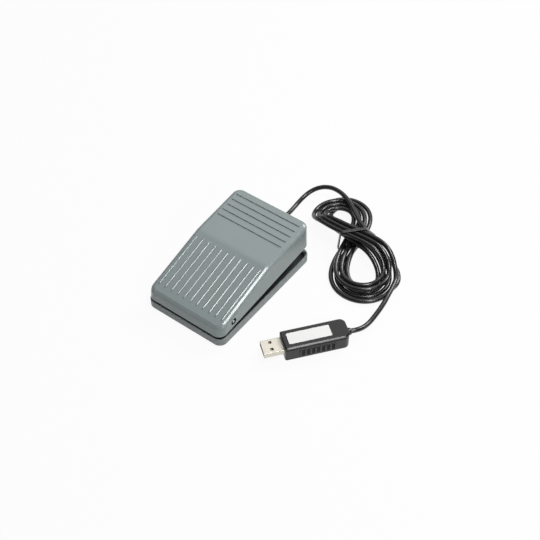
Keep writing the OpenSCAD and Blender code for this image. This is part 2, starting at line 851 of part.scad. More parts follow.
module terminal_slot(y) {
    block([-lug_width / 2 - fixed_clearance, lug_width / 2 + fixed_clearance],
        [y - lug_thickness / 2 - fixed_clearance, y + lug_thickness / 2 + fixed_clearance],
        [-overlap, switch_wall + overlap]);
}
module switch_lid() {
    color(switch_red)
        at_switch()
            difference() {
                block([half_switch - switch_wall, half_switch], [0, switch_length], [0, switch_height]);
                hole_posts(switch_hole / 2, -far, far);
            }
}
module switch_plunger() {
    color(switch_red)
        at_switch()
            translate([0, plunger_place, 0]) {
                post(plunger_radius, plunger_foot, plunger_tip - plunger_radius);
                translate([0, 0, plunger_tip - plunger_radius])
                    sphere(plunger_radius);
                post(plunger_radius + plunger_flange, plunger_foot, plunger_ceiling);
                post(plunger_nib_radius, plunger_foot - plunger_nib_height, plunger_foot + overlap);
            }
}
module switch_lever() {
    color(steel)
        at_switch()
            translate([0, lever_pivot[0], lever_pivot[1]])
                rotate([lever_angle, 0, 0])
                    difference() {
                        union() {
                            block([-lever_width / 2, lever_width / 2], [0, lever_length],
                                [-lever_thickness / 2, lever_thickness / 2]);
                            bar_x(lever_barrel, -lever_width / 2, lever_width / 2);
                        }
                        bar_x(lever_pin_radius + running_clearance, -far, far);
                    }
}
module lever_pin() {
    reach = lever_width / 2 + side_gap + lever_ear_thickness;
    color(steel)
        at_switch()
            translate([0, lever_pivot[0], lever_pivot[1]])
                bar_x(lever_pin_radius, -reach, reach);
}
module contact_blade() {
    color(brass)
        at_switch() {
            block([-blade_width / 2, blade_width / 2], [blade_tip, blade_pivot[0]],
                [blade_pivot[1] - blade_thickness / 2, blade_pivot[1] + blade_thickness / 2]);
            translate([0, blade_pivot[0], blade_pivot[1]])
                bar_x(blade_barrel, -blade_width / 2, blade_width / 2);
        }
}
module lug(y, top) {
    block([-lug_width / 2, lug_width / 2], [y - lug_thickness / 2, y + lug_thickness / 2], [-lug_length, top]);
}
module switch_terminals() {
    stud_top = blade_pivot[1] - blade_drop;
    guard_x = blade_width / 2 + guard_gap;
    guard_bottom = switch_wall + guard_foot;
    guard_link = guard_bottom + guard_step;
    guard_z = blade_pivot[1] + blade_thickness / 2 + stud_gap;
    color(brass)
        at_switch() {
            lug(lug_places[0], stud_top - guard_step);
            translate([0, lug_places[0], 0])
                post(stud_radius, stud_top - guard_step - overlap, stud_top);
            lug(lug_places[1], guard_link);
            block([-guard_x - lug_thickness, -guard_x], [lug_places[1] - lug_thickness / 2,
                lug_places[1] + lug_thickness / 2], [guard_bottom, guard_z + lug_thickness]);
            block([-guard_x - overlap, -lug_width / 2 + overlap], [lug_places[1] - lug_thickness / 2,
                lug_places[1] + lug_thickness / 2], [guard_bottom, guard_link]);
            block([-guard_x - overlap, blade_width / 2], [lug_places[1] - lug_thickness / 2,
                lug_places[1] + lug_thickness / 2], [guard_z, guard_z + lug_thickness]);
            lug(lug_places[2], blade_pivot[1] - blade_barrel - stud_gap);
        }
}

// Bracket and fasteners
module switch_bracket() {
    color(steel)
        difference() {
            union() {
                block([plate_left, case_left], [switch_y, switch_y + switch_length],
                    [foot_bottom, switch_top]);
                block([plate_left - foot_end + bracket_sheet, case_left], [switch_y, switch_y + switch_length],
                    [foot_bottom, foot_bottom + bracket_sheet]);
            }
            at_switch()
                hole_posts(switch_hole / 2, -far, far);
            for (y = foot_screw_y)
                translate([foot_screw_x, y, 0])
                    post(screw_radius + fixed_clearance, foot_bottom - overlap, far);
        }
}
module bracket_screws() {
    color(steel)
        for (y = foot_screw_y)
            translate([foot_screw_x, y, 0])
                screw(foot_bottom + bracket_sheet, foot_bottom - boss_height - screw_bite + side_gap);
}
module switch_screws() {
    shank = switch_hole / 2 - running_clearance;
    head_ring = 1.1;
    color(steel)
        at_switch() {
            hole_posts(shank, -half_switch - bracket_sheet - nut_thickness - side_gap, half_switch + overlap);
            hole_posts(shank + head_ring, half_switch, half_switch + screw_head);
        }
}
module switch_nuts() {
    nut_x = -half_switch - bracket_sheet;
    color(steel)
        at_switch()
            difference() {
                for (h = switch_holes)
                    translate([nut_x - nut_thickness, h[0], h[1]])
                        rotate([0, 90, 0])
                            cylinder(r = nut_radius, h = nut_thickness, $fn = 6);
                hole_posts(switch_hole / 2 - running_clearance + fixed_clearance, -far, far);
            }
}

// Cord parts in the base
module cord_grommet() {
    color(black)
        translate([cord_x, rear, cord_z])
            rotate([-90, 0, 0])
                rotate_extrude()
                    polygon([
                        [cord_radius + fixed_clearance, -base_wall - grommet_flange_length],
                        [grommet_flange, -base_wall - grommet_flange_length], [grommet_flange, -base_wall],
                        [grommet_neck, -base_wall], [grommet_neck, 0], [grommet_flange, 0],
                        [grommet_flange, grommet_flange_length], [grommet_tip, grommet_length],
                        [cord_radius + fixed_clearance, grommet_length]
                    ]);
}
module cord_clamp() {
    color(black)
        translate([cord_x, clamp_y, 0])
            difference() {
                block([-clamp_half, clamp_half], [-clamp_length / 2, clamp_length / 2], [floor_top, clamp_top]);
                translate([0, 0, cord_z])
                    bar_y(cord_radius + fixed_clearance, -far, far);
                block([-cord_radius - fixed_clearance, cord_radius + fixed_clearance], [-far, far],
                    [floor_top - overlap, cord_z]);
                for (side = [-1, 1])
                    translate([side * clamp_screw, 0, 0])
                        post(screw_radius + fixed_clearance, floor_top - overlap, far);
            }
}
module clamp_screws() {
    color(steel)
        for (side = [-1, 1])
            translate([cord_x + side * clamp_screw, clamp_y, 0])
                screw(clamp_top, floor_top - screw_bite + side_gap);
}
module cord_inner_end() {
    color(black)
        translate([cord_x, 0, cord_z])
            bar_y(cord_radius, cord_inside, grommet_end);
}
module signal_wires() {
    color("#c23b30")
        for (path = wire_paths)
            tube(path, wire_diameter / 2, form_sides);
}

// Free cord, hank and tie
module cord_lead() {
    color(black)
        tube(lead_path, cord_radius, tube_sides);
}
module cord_hank() {
    color(black)
        tube(hank_path, cord_radius, form_sides);
}
module cord_tail() {
    color(black)
        tube(tail_path, cord_radius, tube_sides);
}
// Band drawn tight round every strand at the hank's waist
tie_step = 1 / 240;
tie_strands = concat(lead_tied, [
    for (turn = [first_turn : tie_step : last_turn])
        let (p = hank_spot(turn))
        if (abs(p[0]) < tie_width) p
]);
module tie_round(grow, length) {
    hull()
        for (p = tie_strands)
            translate([-length / 2, p[1], p[2]])
                rotate([0, 90, 0])
                    cylinder(r = cord_radius + tie_gap + grow, h = length, $fn = hull_fn);
}
module hank_tie() {
    color(black)
        translate([hank_x, hank_y, 0])
            rotate([0, 0, hank_turn])
                difference() {
                    tie_round(tie_thickness, tie_width);
                    tie_round(0, tie_width + 2 * overlap);
                }
}

// Plug, drawn along X from its USB end
module at_plug() {
    translate([plug_x, plug_y, 0])
        rotate([0, 0, plug_turn])
            children();
}
module plug_outline(inset) {
    half = plug_width / 2 - inset;
    r_front = max(plug_front_radius - inset, least_corner);
    r_cord = max(plug_cord_radius - inset, least_corner);
    x0 = inset;
    x1 = plug_length - inset;
    for (side = [-1, 1]) {
        translate([x0 + r_front, side * (half - r_front)])
            circle(r_front);
        translate([x1 - r_cord, side * (half - r_cord)])
            circle(r_cord);
    }
    translate([x0 + r_front, -half])
        square([x1 - r_cord - x0 - r_front, 2 * half]);
    translate([x0, -half + r_front])
        square([r_front + overlap, 2 * (half - r_front)]);
    translate([x1 - r_cord - overlap, -half + r_cord])
        square([r_cord + overlap, 2 * (half - r_cord)]);
}
module plug_layer(inset, z0, z1) {
    translate([0, 0, z0])
        linear_extrude(z1 - z0)
            plug_outline(inset);
}
module plug_lower() {
    half = plug_width / 2;
    color(black)
        at_plug()
            difference() {
                union() {
                    difference() {
                        plug_layer(0, 0, seam);
                        plug_layer(plug_wall, plug_wall, seam + overlap);
                    }
                    for (side = [-1, 1])
                        block([board_start + 4, board_start + board_length - 4],
                            [side * (board_width / 2 - rail_width / 2) - rail_width / 2,
                                side * (board_width / 2 - rail_width / 2) + rail_width / 2],
                            [plug_wall - overlap, board_bottom]);
                    for (side = [-1, 1], i = [0 : bar_count - 1])
                        translate([bar_start + i * bar_pitch, side * half, bar_bottom])
                            block([-bar_width / 2, bar_width / 2],
                                [-bar_proud, bar_proud], [0, bar_height]);
                }
                translate([-overlap, 0, usb_z])
                    rotate([90, 0, 90])
                        linear_extrude(plug_wall + 2 * overlap)
                            rounded_rect([usb_width + 2 * fixed_clearance, usb_height + 2 * fixed_clearance],
                                usb_corner);
                translate([0, 0, plug_cord_z])
                    bar_x(collar_neck + fixed_clearance, plug_length - plug_wall - overlap, plug_length + overlap);
            }
}
module plug_lid() {
    color(black)
        at_plug() {
            plug_layer(0, seam + seam_gap, plug_height - lid_bevel);
            plug_layer(lid_bevel, plug_height - lid_bevel, plug_height);
            difference() {
                plug_layer(plug_wall + side_gap / 2, seam - lid_lip, seam + seam_gap + overlap);
                plug_layer(plug_wall + side_gap / 2 + lip_wall, seam - lid_lip - overlap, seam + seam_gap);
            }
        }
}
module plug_label() {
    color(label_white)
        at_plug()
            translate([label_start + label_length / 2, 0, 0])
                slab([label_length, label_width], label_corner, plug_height, plug_height + label_thickness);
}
module usb_shell() {
    color(nickel)
        at_plug()
            difference() {
                translate([-usb_length, 0, usb_z])
                    rotate([90, 0, 90])
                        linear_extrude(usb_length + usb_inside)
                            difference() {
                                rounded_rect([usb_width, usb_height], usb_corner);
                                rounded_rect([usb_width - 2 * usb_sheet, usb_height - 2 * usb_sheet],
                                    usb_corner - usb_sheet);
                            }
                for (side = [-1, 1])
                    block([-usb_length + window_place, -usb_length + window_place + window],
                        [side * usb_width / 4 - window / 2, side * usb_width / 4 + window / 2],
                        [usb_z - usb_height, usb_z + usb_height]);
            }
}
tongue_gap = side_gap / 2;
tongue_half = usb_width / 2 - usb_sheet - tongue_gap;
tongue_bottom = usb_z - usb_height / 2 + usb_sheet + tongue_gap;
tongue_top = tongue_bottom + tongue_thickness;
module usb_tongue() {
    color(label_white)
        at_plug() {
            block([-tongue_length, usb_inside], [-tongue_half, tongue_half], [tongue_bottom, tongue_top]);
            block([0, usb_inside], [-tongue_half, tongue_half],
                [tongue_bottom, usb_z + usb_height / 2 - usb_sheet - tongue_gap]);
        }
}
module usb_contacts() {
    color(brass)
        at_plug()
            for (i = [0 : 3])
                let (reach = i == 0 || i == 3 ? tongue_length - 0.8 : tongue_length - 1.8)
                    block([-reach, 0], [(i - 1.5) * contact_pitch - contact_width / 2,
                        (i - 1.5) * contact_pitch + contact_width / 2],
                        [tongue_top, tongue_top + contact_thickness]);
}
module circuit_board() {
    color(board_green)
        at_plug()
            block([board_start, board_start + board_length], [-board_width / 2, board_width / 2],
                [board_bottom, board_top]);
}
module on_board(x, y) {
    at_plug()
        translate([board_start + x, y, board_top])
            children();
}
module controller_chip() {
    color(black)
        on_board(chip_place, 0) {
            translate([0, 0, (chip_lift + chip_top) / 2])
                cube([chip_size[0], chip_size[1], chip_top - chip_lift], center = true);
            for (side = [-1, 1], i = [0 : leg_count - 1])
                translate([(i - (leg_count - 1) / 2) * leg_pitch, side * (chip_size[1] + leg_size[1]) / 2,
                        leg_size[2] / 2])
                    cube(leg_size + [0, chip_lift, 0], center = true);
        }
}
module crystal() {
    color(nickel)
        on_board(crystal_place, 0)
            linear_extrude(crystal_height)
                rounded_rect(crystal_size, crystal_corner);
}
module board_parts() {
    color("#b89a6a")
        for (spot = small_part_places)
            on_board(spot[0], spot[1])
                translate([0, 0, small_part[2] / 2])
                    cube(small_part, center = true);
}

// Cord's end in the plug
module plug_collar() {
    color(black)
        at_plug()
            translate([plug_length, 0, plug_cord_z])
                rotate([0, 90, 0])
                    rotate_extrude()
                        polygon([
                            [cord_radius + fixed_clearance, -plug_wall - collar_flange_length],
                            [collar_flange, -plug_wall - collar_flange_length], [collar_flange, -plug_wall],
                            [collar_neck, -plug_wall], [collar_neck, 0], [collar_flange, 0],
                            [collar_flange, collar_length / 2], [collar_tip, collar_length],
                            [cord_radius + fixed_clearance, collar_length]
                        ]);
}
module plug_cord_end() {
    color(black)
        at_plug()
            translate([0, 0, plug_cord_z])
                bar_x(cord_radius, plug_cord_start, plug_exit);
}
module plug_wires() {
    color("#c23b30")
        at_plug()
            for (side = [-1, 1])
                tube([
                    [plug_cord_start, side * wire_spread, plug_cord_z],
                    [plug_cord_start - wire_straight, side * wire_spread, plug_cord_z],
                    [plug_cord_start - 3 * wire_straight, side * 2 * wire_spread, board_top + wire_diameter],
                    [plug_cord_start - 5 * wire_straight, side * 3 * wire_spread,
                        board_top + wire_diameter / 2 + fixed_clearance]
                ], wire_diameter / 2, form_sides);
}

base_tray();
pedal_cover();
hinge_pin();
return_spring();
for (f = FEET) rubber_foot(f);
switch_case();
switch_lid();
switch_plunger();
switch_lever();
lever_pin();
contact_blade();
switch_terminals();
switch_bracket();
bracket_screws();
switch_screws();
switch_nuts();
cord_grommet();
cord_clamp();
clamp_screws();
cord_inner_end();
signal_wires();
cord_lead();
cord_hank();
hank_tie();
cord_tail();
plug_collar();
plug_cord_end();
plug_lower();
plug_lid();
plug_label();
usb_shell();
usb_tongue();
usb_contacts();
circuit_board();
controller_chip();
crystal();
board_parts();
plug_wires();
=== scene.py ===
import json
import math

import bmesh
import bpy
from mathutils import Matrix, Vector
from mathutils.geometry import convex_hull_2d


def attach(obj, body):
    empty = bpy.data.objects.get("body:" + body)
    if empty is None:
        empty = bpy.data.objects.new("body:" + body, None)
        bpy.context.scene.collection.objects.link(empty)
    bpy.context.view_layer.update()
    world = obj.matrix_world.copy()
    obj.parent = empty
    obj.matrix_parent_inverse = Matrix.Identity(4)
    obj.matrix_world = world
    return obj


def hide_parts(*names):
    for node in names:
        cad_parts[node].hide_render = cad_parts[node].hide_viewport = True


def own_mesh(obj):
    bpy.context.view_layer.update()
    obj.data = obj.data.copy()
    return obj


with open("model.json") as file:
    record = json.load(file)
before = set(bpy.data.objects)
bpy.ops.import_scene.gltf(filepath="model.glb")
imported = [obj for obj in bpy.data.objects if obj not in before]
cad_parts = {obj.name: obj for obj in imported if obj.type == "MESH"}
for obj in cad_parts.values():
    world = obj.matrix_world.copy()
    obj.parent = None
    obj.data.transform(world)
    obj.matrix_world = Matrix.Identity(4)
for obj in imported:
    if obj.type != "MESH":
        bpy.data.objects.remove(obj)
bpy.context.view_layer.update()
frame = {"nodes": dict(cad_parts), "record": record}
scene = bpy.context.scene

# Sizes are in millimetres, in the frame of the CAD nodes. M turns them into metres.
M = 0.001

# Places and sizes that both the finishes and the pieces need
# The last of these is how far out from the middle the pin holes get painted shade
PIN_Y, PIN_Z, PIN_HOLE, PIN_HOLE_SHADE_X = -37.0, 14.9, 2.6, 32.2
# The tray's painted shade lies above its floor and within these two reaches
TRAY_FLOOR, TRAY_SHADE_X, TRAY_SHADE_Y = 3, 31, 50
PLUG = (66.8, -28.9)
PLUG_TURN = math.radians(52)
PLUG_HALF, TUB_TOP, CAP_LOW = 8.15, 10.3, 10.4
BARS, FIRST_BAR, BAR_PITCH, BAR_HALF = 8, 10.6, 3.5, 0.85
LAST_BAR = FIRST_BAR + BAR_PITCH * (BARS - 1)
BAR_LOW, BAR_HIGH = 2, 7.8


# Camera, at the photograph's viewing angle

AROUND, ABOVE = math.radians(36.69), math.radians(47.86)
AIM, DISTANCE = (16.31, 25.13, 1.0), 767.6
LENS, SENSOR, NEAREST = 71.06, 36, 0.01


def set_camera():
    level = math.cos(ABOVE)
    away = Vector((math.sin(AROUND) * level, -math.cos(AROUND) * level, math.sin(ABOVE)))
    bpy.ops.object.camera_add(location=Vector(AIM) * M + away * DISTANCE * M)
    camera = bpy.context.object
    camera.rotation_euler = (-away).to_track_quat("-Z", "Y").to_euler()
    camera.data.lens = LENS
    camera.data.sensor_width = SENSOR
    camera.data.clip_start = NEAREST
    scene.camera = camera


set_camera()


# Shader sums


class Link:
    """A shader socket that takes part in sums as a number does."""

    def __init__(self, finish, socket):
        self.finish = finish
        self.socket = socket

    def sum(self, operation, first, second):
        return self.finish.node("ShaderNodeMath", {"operation": operation}, {0: first, 1: second})

    def __add__(self, other):
        return self.sum("ADD", self, other)

    __radd__ = __add__

    def __sub__(self, other):
        return self.sum("SUBTRACT", self, other)

    def __rsub__(self, other):
        return self.sum("SUBTRACT", other, self)

    def __mul__(self, other):
        return self.sum("MULTIPLY", self, other)

    __rmul__ = __mul__

    def below(self, other):
        return self.sum("LESS_THAN", self, other)

    def above(self, other):
        return self.sum("GREATER_THAN", self, other)


class Finish:
    """A material, with one method that adds any node to it."""

    def __init__(self, name):
        self.material = bpy.data.materials.new(name)
        self.material.use_nodes = True
        self.tree = self.material.node_tree
        self.tree.nodes.clear()

    def node(self, kind, settings=None, sockets=None, out=0):
        made = self.tree.nodes.new(kind)
        for key, value in (settings or {}).items():
            if key == "stops":
                for stop, (place, grey) in zip(made.color_ramp.elements, value):
                    stop.position = place
                    stop.color = (grey, grey, grey, 1)
            else:
                setattr(made, key, value)
        for key, value in (sockets or {}).items():
            if isinstance(value, Link):
                self.tree.links.new(value.socket, made.inputs[key])
            else:
                made.inputs[key].default_value = value
        return Link(self, made.outputs[out]) if made.outputs else None

    def place(self, stretch=None, turn=0.0):
        at = self.node("ShaderNodeTexCoord", out="Object")
        if stretch is None:
            return at
        sockets = {"Vector": at, "Rotation": (0, 0, turn), "Scale": stretch}
        return self.node("ShaderNodeMapping", None, sockets)

    def noise(self, place, scale, detail=3.0, rough=0.5):
        sockets = {"Vector": place, "Scale": scale, "Detail": detail, "Roughness": rough}
        return self.node("ShaderNodeTexNoise", None, sockets)

    def ramp(self, factor, low, high):
        stops = [(low, 0.0), (high, 1.0)]
        return self.node("ShaderNodeValToRGB", {"stops": stops}, {"Fac": factor})

    def mix(self, factor, first, second):
        sockets = {0: factor, 6: first, 7: second}
        return self.node("ShaderNodeMix", {"data_type": "RGBA"}, sockets, out=2)

    def bump(self, height, strength, depth):
        sockets = {"Height": height, "Strength": strength, "Distance": depth}
        return self.node("ShaderNodeBump", None, sockets)

    def surface(self, sockets):
        shader = self.node("ShaderNodeBsdfPrincipled", None, sockets)
        self.node("ShaderNodeOutputMaterial", None, {"Surface": shader})
        return self.material


def tone(red, green, blue, level=1.0):
    return (red * level, green * level, blue * level, 1.0)


# Painted shade on mouldings: each mask takes a point's place in metres, gives 1 in the shade


def between(value, low, high):
    return value.above(low * M) * value.below(high * M)


def within(value, reach):
    return (value * value).below((reach * M) ** 2)


# Painted shade inside the base tray, above its floor
def tray_inside_shade(x, y, z):
    return within(x, TRAY_SHADE_X) * within(y, TRAY_SHADE_Y) * z.above((TRAY_FLOOR - 0.1) * M)


# Painted shade in the pin holes of the cover's sides
def pin_hole_shade(x, y, z):
    aside, above = y - PIN_Y * M, z - PIN_Z * M
    bore = (aside * aside + above * above).below(((PIN_HOLE + 0.05) * M) ** 2)
    return bore * within(x, PIN_HOLE_SHADE_X)


def grip_gap_and_seam_shade(x, y, z):
    """Painted shade on the plug's wall between its grip bars, and in the seam under its cap."""
    ahead, left = x - PLUG[0] * M, y - PLUG[1] * M
    along = ahead * math.cos(PLUG_TURN) + left * math.sin(PLUG_TURN)
    aside = left * math.cos(PLUG_TURN) - ahead * math.sin(PLUG_TURN)
    wall = (aside * aside).above(((PLUG_HALF - 0.05) * M) ** 2) * within(aside, PLUG_HALF + 0.2)
    grip = between(along, FIRST_BAR - 0.8, LAST_BAR + 0.8) * between(z, BAR_LOW, BAR_HIGH)
    return wall * grip + between(z, TUB_TOP - 0.5, CAP_LOW + 0.35)


# Finishes

# Painted shade: how far it darkens a colour, and how much duller it makes the surface
PAINTED_SHADE_LEVEL, PAINTED_SHADE_DULLNESS = 0.15, 0.5
ALONG_PLUG = -PLUG_TURN


def moulded_plastic(name, colour, rough, grain, dull=0.9, painted_shade_part=None):
    """Plastic with a fine sparked grain, faint clouding and rubbed, shinier patches."""
    f = Finish(name)
    at = f.place()
    cloud = f.noise(at, scale=60.0, detail=4.0)
    rubbed = f.ramp(f.noise(at, scale=24.0, detail=2.0), low=0.42, high=0.7)
    fine = f.noise(at, scale=2600.0, detail=2.0, rough=0.6)
    colours = f.mix(cloud, tone(*colour, level=dull), tone(*colour, level=2.0 - dull))
    shine = rough + 0.06 * fine - 0.07 * rubbed
    # Where the mask gives 1, shade is painted into the colour and the surface made duller
    if painted_shade_part:
        sides = [f.node("ShaderNodeSeparateXYZ", None, {0: at}, out=axis) for axis in range(3)]
        painted_shade_mask = painted_shade_part(*sides)
        colours = f.mix(painted_shade_mask, colours, tone(*colour, level=PAINTED_SHADE_LEVEL))
        shine = shine + PAINTED_SHADE_DULLNESS * painted_shade_mask
    return f.surface(
        {
            "Base Color": colours,
            "Roughness": shine,
            "Normal": f.bump(fine + 0.25 * cloud, strength=grain, depth=0.00012),
        }
    )


def glossy_pvc(name, colour, rough):
    """Soft sheath of a cord, wire or tie: smooth, with faint handling marks."""
    f = Finish(name)
    at = f.place()
    marks = f.ramp(f.noise(at, scale=190.0), low=0.45, high=0.75)
    waves = f.noise(at, scale=120.0, detail=2.0)
    return f.surface(
        {
            "Base Color": f.mix(marks, tone(*colour), tone(*colour, level=1.7)),
            "Roughness": rough + 0.12 * marks,
            "Normal": f.bump(waves, strength=0.01, depth=0.00012),
            "Coat Weight": 0.4,
            "Coat Roughness": 0.18,
        }
    )


def matt_rubber(name, colour):
    """Rubber with a little dust on it."""
    f = Finish(name)
    at = f.place()
    dust = f.noise(at, scale=300.0, detail=5.0, rough=0.65)
    fine = f.noise(at, scale=2200.0, detail=2.0)
    dusty = f.ramp(dust, low=0.4, high=0.8)
    return f.surface(
        {
            "Base Color": f.mix(dusty, tone(*colour), tone(*colour, level=2.2)),
            "Roughness": 0.72 + 0.15 * dust,
            "Normal": f.bump(fine, strength=0.25, depth=0.0001),
        }
    )


def drawn_metal(name, colour, rough, stretch, turn=0.0, marks=0.12):
    """Metal with fine lines along its length and slightly cloudy shine."""
    f = Finish(name)
    lines = f.noise(f.place(stretch, turn), scale=1.0, rough=0.6)
    cloud = f.noise(f.place(), scale=260.0, detail=4.0)
    return f.surface(
        {
            "Base Color": f.mix(cloud, tone(*colour, level=0.86), tone(*colour, level=1.06)),
            "Metallic": 1.0,
            "Roughness": rough + marks * cloud,
            "Normal": f.bump(lines, strength=0.06, depth=0.00005),
        }
    )


def label_film(name):
    """Blank white film, a little yellowed, with a faint paper grain."""
    f = Finish(name)
    at = f.place()
    fibre = f.noise(at, scale=1500.0, detail=4.0, rough=0.7)
    aged = f.noise(at, scale=90.0)
    return f.surface(
        {
            "Base Color": f.mix(aged, tone(0.86, 0.86, 0.86), tone(0.8, 0.8, 0.79)),
            "Roughness": 0.42 + 0.16 * fibre,
            "Normal": f.bump(fibre, strength=0.08, depth=0.00005),
        }
    )


def solder_mask(name):
    """Green lacquer over raised copper tracks."""
    f = Finish(name)
    grid = {
        "Vector": f.place((1, 1, 1), ALONG_PLUG),
        "Scale": 260.0,
        "Mortar Size": 0.03,
        "Color1": (0, 0, 0, 1),
        "Color2": (0.2, 0.2, 0.2, 1),
        "Mortar": (1, 1, 1, 1),
    }
    tracks = f.node("ShaderNodeTexBrick", {"offset": 0.5}, grid, out="Fac")
    return f.surface(
        {
            "Base Color": f.mix(tracks, tone(0.012, 0.11, 0.05), tone(0.03, 0.2, 0.09)),
            "Roughness": 0.34 - 0.08 * tracks,
            "Normal": f.bump(tracks, strength=0.3, depth=0.00008),
        }
    )


COVER_GREY, BASE_GREY = (0.262, 0.305, 0.307), (0.235, 0.262, 0.262)
PLUG_BLACK = (0.0135, 0.0135, 0.0150)
STEEL, SPRING_STEEL, ZINC = (0.62, 0.63, 0.65), (0.48, 0.49, 0.51), (0.6, 0.62, 0.64)
BRASS, NICKEL, GOLD = (0.72, 0.5, 0.2), (0.78, 0.745, 0.655), (0.85, 0.62, 0.26)
FINISHES = {
    # Painted shade in the pin holes
    "cover_plastic": moulded_plastic(
        "cover_plastic", COVER_GREY, rough=0.23, grain=0.05, dull=0.97, painted_shade_part=pin_hole_shade
    ),
    # Painted shade inside the tray
    "base_plastic": moulded_plastic(
        "base_plastic", BASE_GREY, rough=0.44, grain=0.24, dull=0.95, painted_shade_part=tray_inside_shade
    ),
    "steel": drawn_metal("steel", STEEL, 0.26, (40, 900, 900)),
    "spring_steel": drawn_metal("spring_steel", SPRING_STEEL, 0.3, (700, 700, 120)),
    "foot_rubber": matt_rubber("foot_rubber", (0.022, 0.022, 0.024)),
    "switch_black": moulded_plastic("switch_black", (0.026, 0.026, 0.028), rough=0.46, grain=0.2),
    "switch_red": moulded_plastic("switch_red", (0.42, 0.045, 0.035), rough=0.42, grain=0.15),
    "contact_brass": drawn_metal("contact_brass", BRASS, 0.3, (700, 90, 700)),
    "zinc_sheet": drawn_metal("zinc_sheet", ZINC, 0.36, (500, 60, 500), marks=0.2),
    "cord_pvc": glossy_pvc("cord_pvc", (0.008, 0.008, 0.009), rough=0.26),
    "wire_red": glossy_pvc("wire_red", (0.42, 0.035, 0.03), rough=0.3),
    "tie_pvc": glossy_pvc("tie_pvc", (0.012, 0.012, 0.013), rough=0.34),
    # Painted shade between the grip bars and in the seam under the cap
    "plug_black": moulded_plastic(
        "plug_black", PLUG_BLACK, rough=0.23, grain=0.1, dull=0.85, painted_shade_part=grip_gap_and_seam_shade
    ),
    "label_paper": label_film("label_paper"),
    "nickel": drawn_metal("nickel", NICKEL, 0.44, (60, 1200, 1200), ALONG_PLUG),
    "tongue_white": moulded_plastic("tongue_white", (0.74, 0.73, 0.7), rough=0.45, grain=0.1),
    "contact_gold": drawn_metal("contact_gold", GOLD, 0.22, (60, 1200, 1200), ALONG_PLUG),
    "board_green": solder_mask("board_green"),
    "chip_black": moulded_plastic("chip_black", (0.018, 0.018, 0.019), rough=0.5, grain=0.2),
    "part_tan": moulded_plastic("part_tan", (0.45, 0.33, 0.19), rough=0.4, grain=0.1),
}
for entry in frame["record"]["subparts"]:
    cad = frame["nodes"][entry["node"]]
    cad.data.materials.clear()
    cad.data.materials.append(FINISHES[entry["material_slot"]])


# Modelling by hand, in short words

QUARTER_TURN = math.radians(90)
NEAR, FACING = 0.1, 0.9


def put_down():
    if bpy.context.object and bpy.context.object.mode != "OBJECT":
        bpy.ops.object.mode_set(mode="OBJECT")
    bpy.ops.object.select_all(action="DESELECT")


def pick_up(*pieces):
    put_down()
    for piece in pieces:
        piece.select_set(True)
    bpy.context.view_layer.objects.active = pieces[0]


def settle(piece):
    """Moves a piece's place, turn and size into its mesh."""
    pick_up(piece)
    bpy.ops.object.transform_apply(location=True, rotation=True, scale=True)
    return piece


def block(name, low, high):
    put_down()
    low, high = Vector(low) * M, Vector(high) * M
    bpy.ops.mesh.primitive_cube_add(size=1, location=(low + high) / 2)
    piece = bpy.context.object
    piece.name = name
    piece.scale = high - low
    return settle(piece)


def rod(name, radius, start, end, sides=48):
    put_down()
    start, end = Vector(start) * M, Vector(end) * M
    bpy.ops.mesh.primitive_cylinder_add(
        vertices=sides,
        radius=radius * M,
        depth=(end - start).length,
        location=(start + end) / 2,
        rotation=(end - start).to_track_quat("Z", "Y").to_euler(),
    )
    piece = bpy.context.object
    piece.name = name
    return settle(piece)


def middle(part):
    """The middle of a face, edge or corner in millimetres."""
    corners = getattr(part, "verts", None) or [part]
    return sum((v.co for v in corners), Vector()) / len(corners) / M


def choose(piece, kind, test):
    """Opens a piece with only those faces, edges or corners selected that pass the test."""
    pick_up(piece)
    bpy.ops.object.mode_set(mode="EDIT")
    bpy.ops.mesh.select_mode(type=kind)
    bpy.ops.mesh.select_all(action="DESELECT")
    mesh = bmesh.from_edit_mesh(piece.data)
    mesh.normal_update()
    for part in {"FACE": mesh.faces, "EDGE": mesh.edges, "VERT": mesh.verts}[kind]:
        if test(part):
            part.select_set(True)
    mesh.select_flush_mode()
    bmesh.update_edit_mesh(piece.data)


def every(part):
    return True


def top_face(face):
    return face.normal.z > FACING


def bottom_face(face):
    return face.normal.z < -FACING


def upright(edge):
    line = edge.verts[1].co - edge.verts[0].co
    return abs(line.z) > FACING * line.length


def sharp(edge, least=50):
    return len(edge.link_faces) == 2 and edge.calc_face_angle() > math.radians(least)


def top_edge(edge):
    """True for an edge between a face that looks up and one that doesn't."""
    tilt = sorted(face.normal.z for face in edge.link_faces)
    return len(tilt) == 2 and tilt[1] > 0.8 and tilt[0] < 0.5


def bottom_edge(edge):
    tilt = sorted(face.normal.z for face in edge.link_faces)
    return len(tilt) == 2 and tilt[0] < -0.8 and tilt[1] > -0.5


def extrude(x, y, z):
    bpy.ops.mesh.extrude_region_move(TRANSFORM_OT_translate={"value": Vector((x, y, z)) * M})


def shift(piece, test, move):
    choose(piece, "VERT", test)
    bpy.ops.transform.translate(value=Vector(move) * M)
    put_down()


def round_edges(piece, test, radius, steps):
    choose(piece, "EDGE", test)
    bpy.ops.mesh.bevel(offset=radius * M, segments=steps, affect="EDGES", clamp_overlap=True)
    put_down()


def hollow(piece, test, wall, press):
    """Insets a face by a wall and presses it in."""
    choose(piece, "FACE", test)
    bpy.ops.mesh.inset(thickness=wall * M, use_even_offset=True)
    extrude(*press)
    put_down()


def copy_of(piece, move):
    pick_up(piece)
    bpy.ops.object.duplicate(linked=False)
    made = bpy.context.object
    made.location = Vector(move) * M
    return settle(made)


def join(pieces):
    pick_up(*pieces)
    bpy.ops.object.join()
    return bpy.context.object


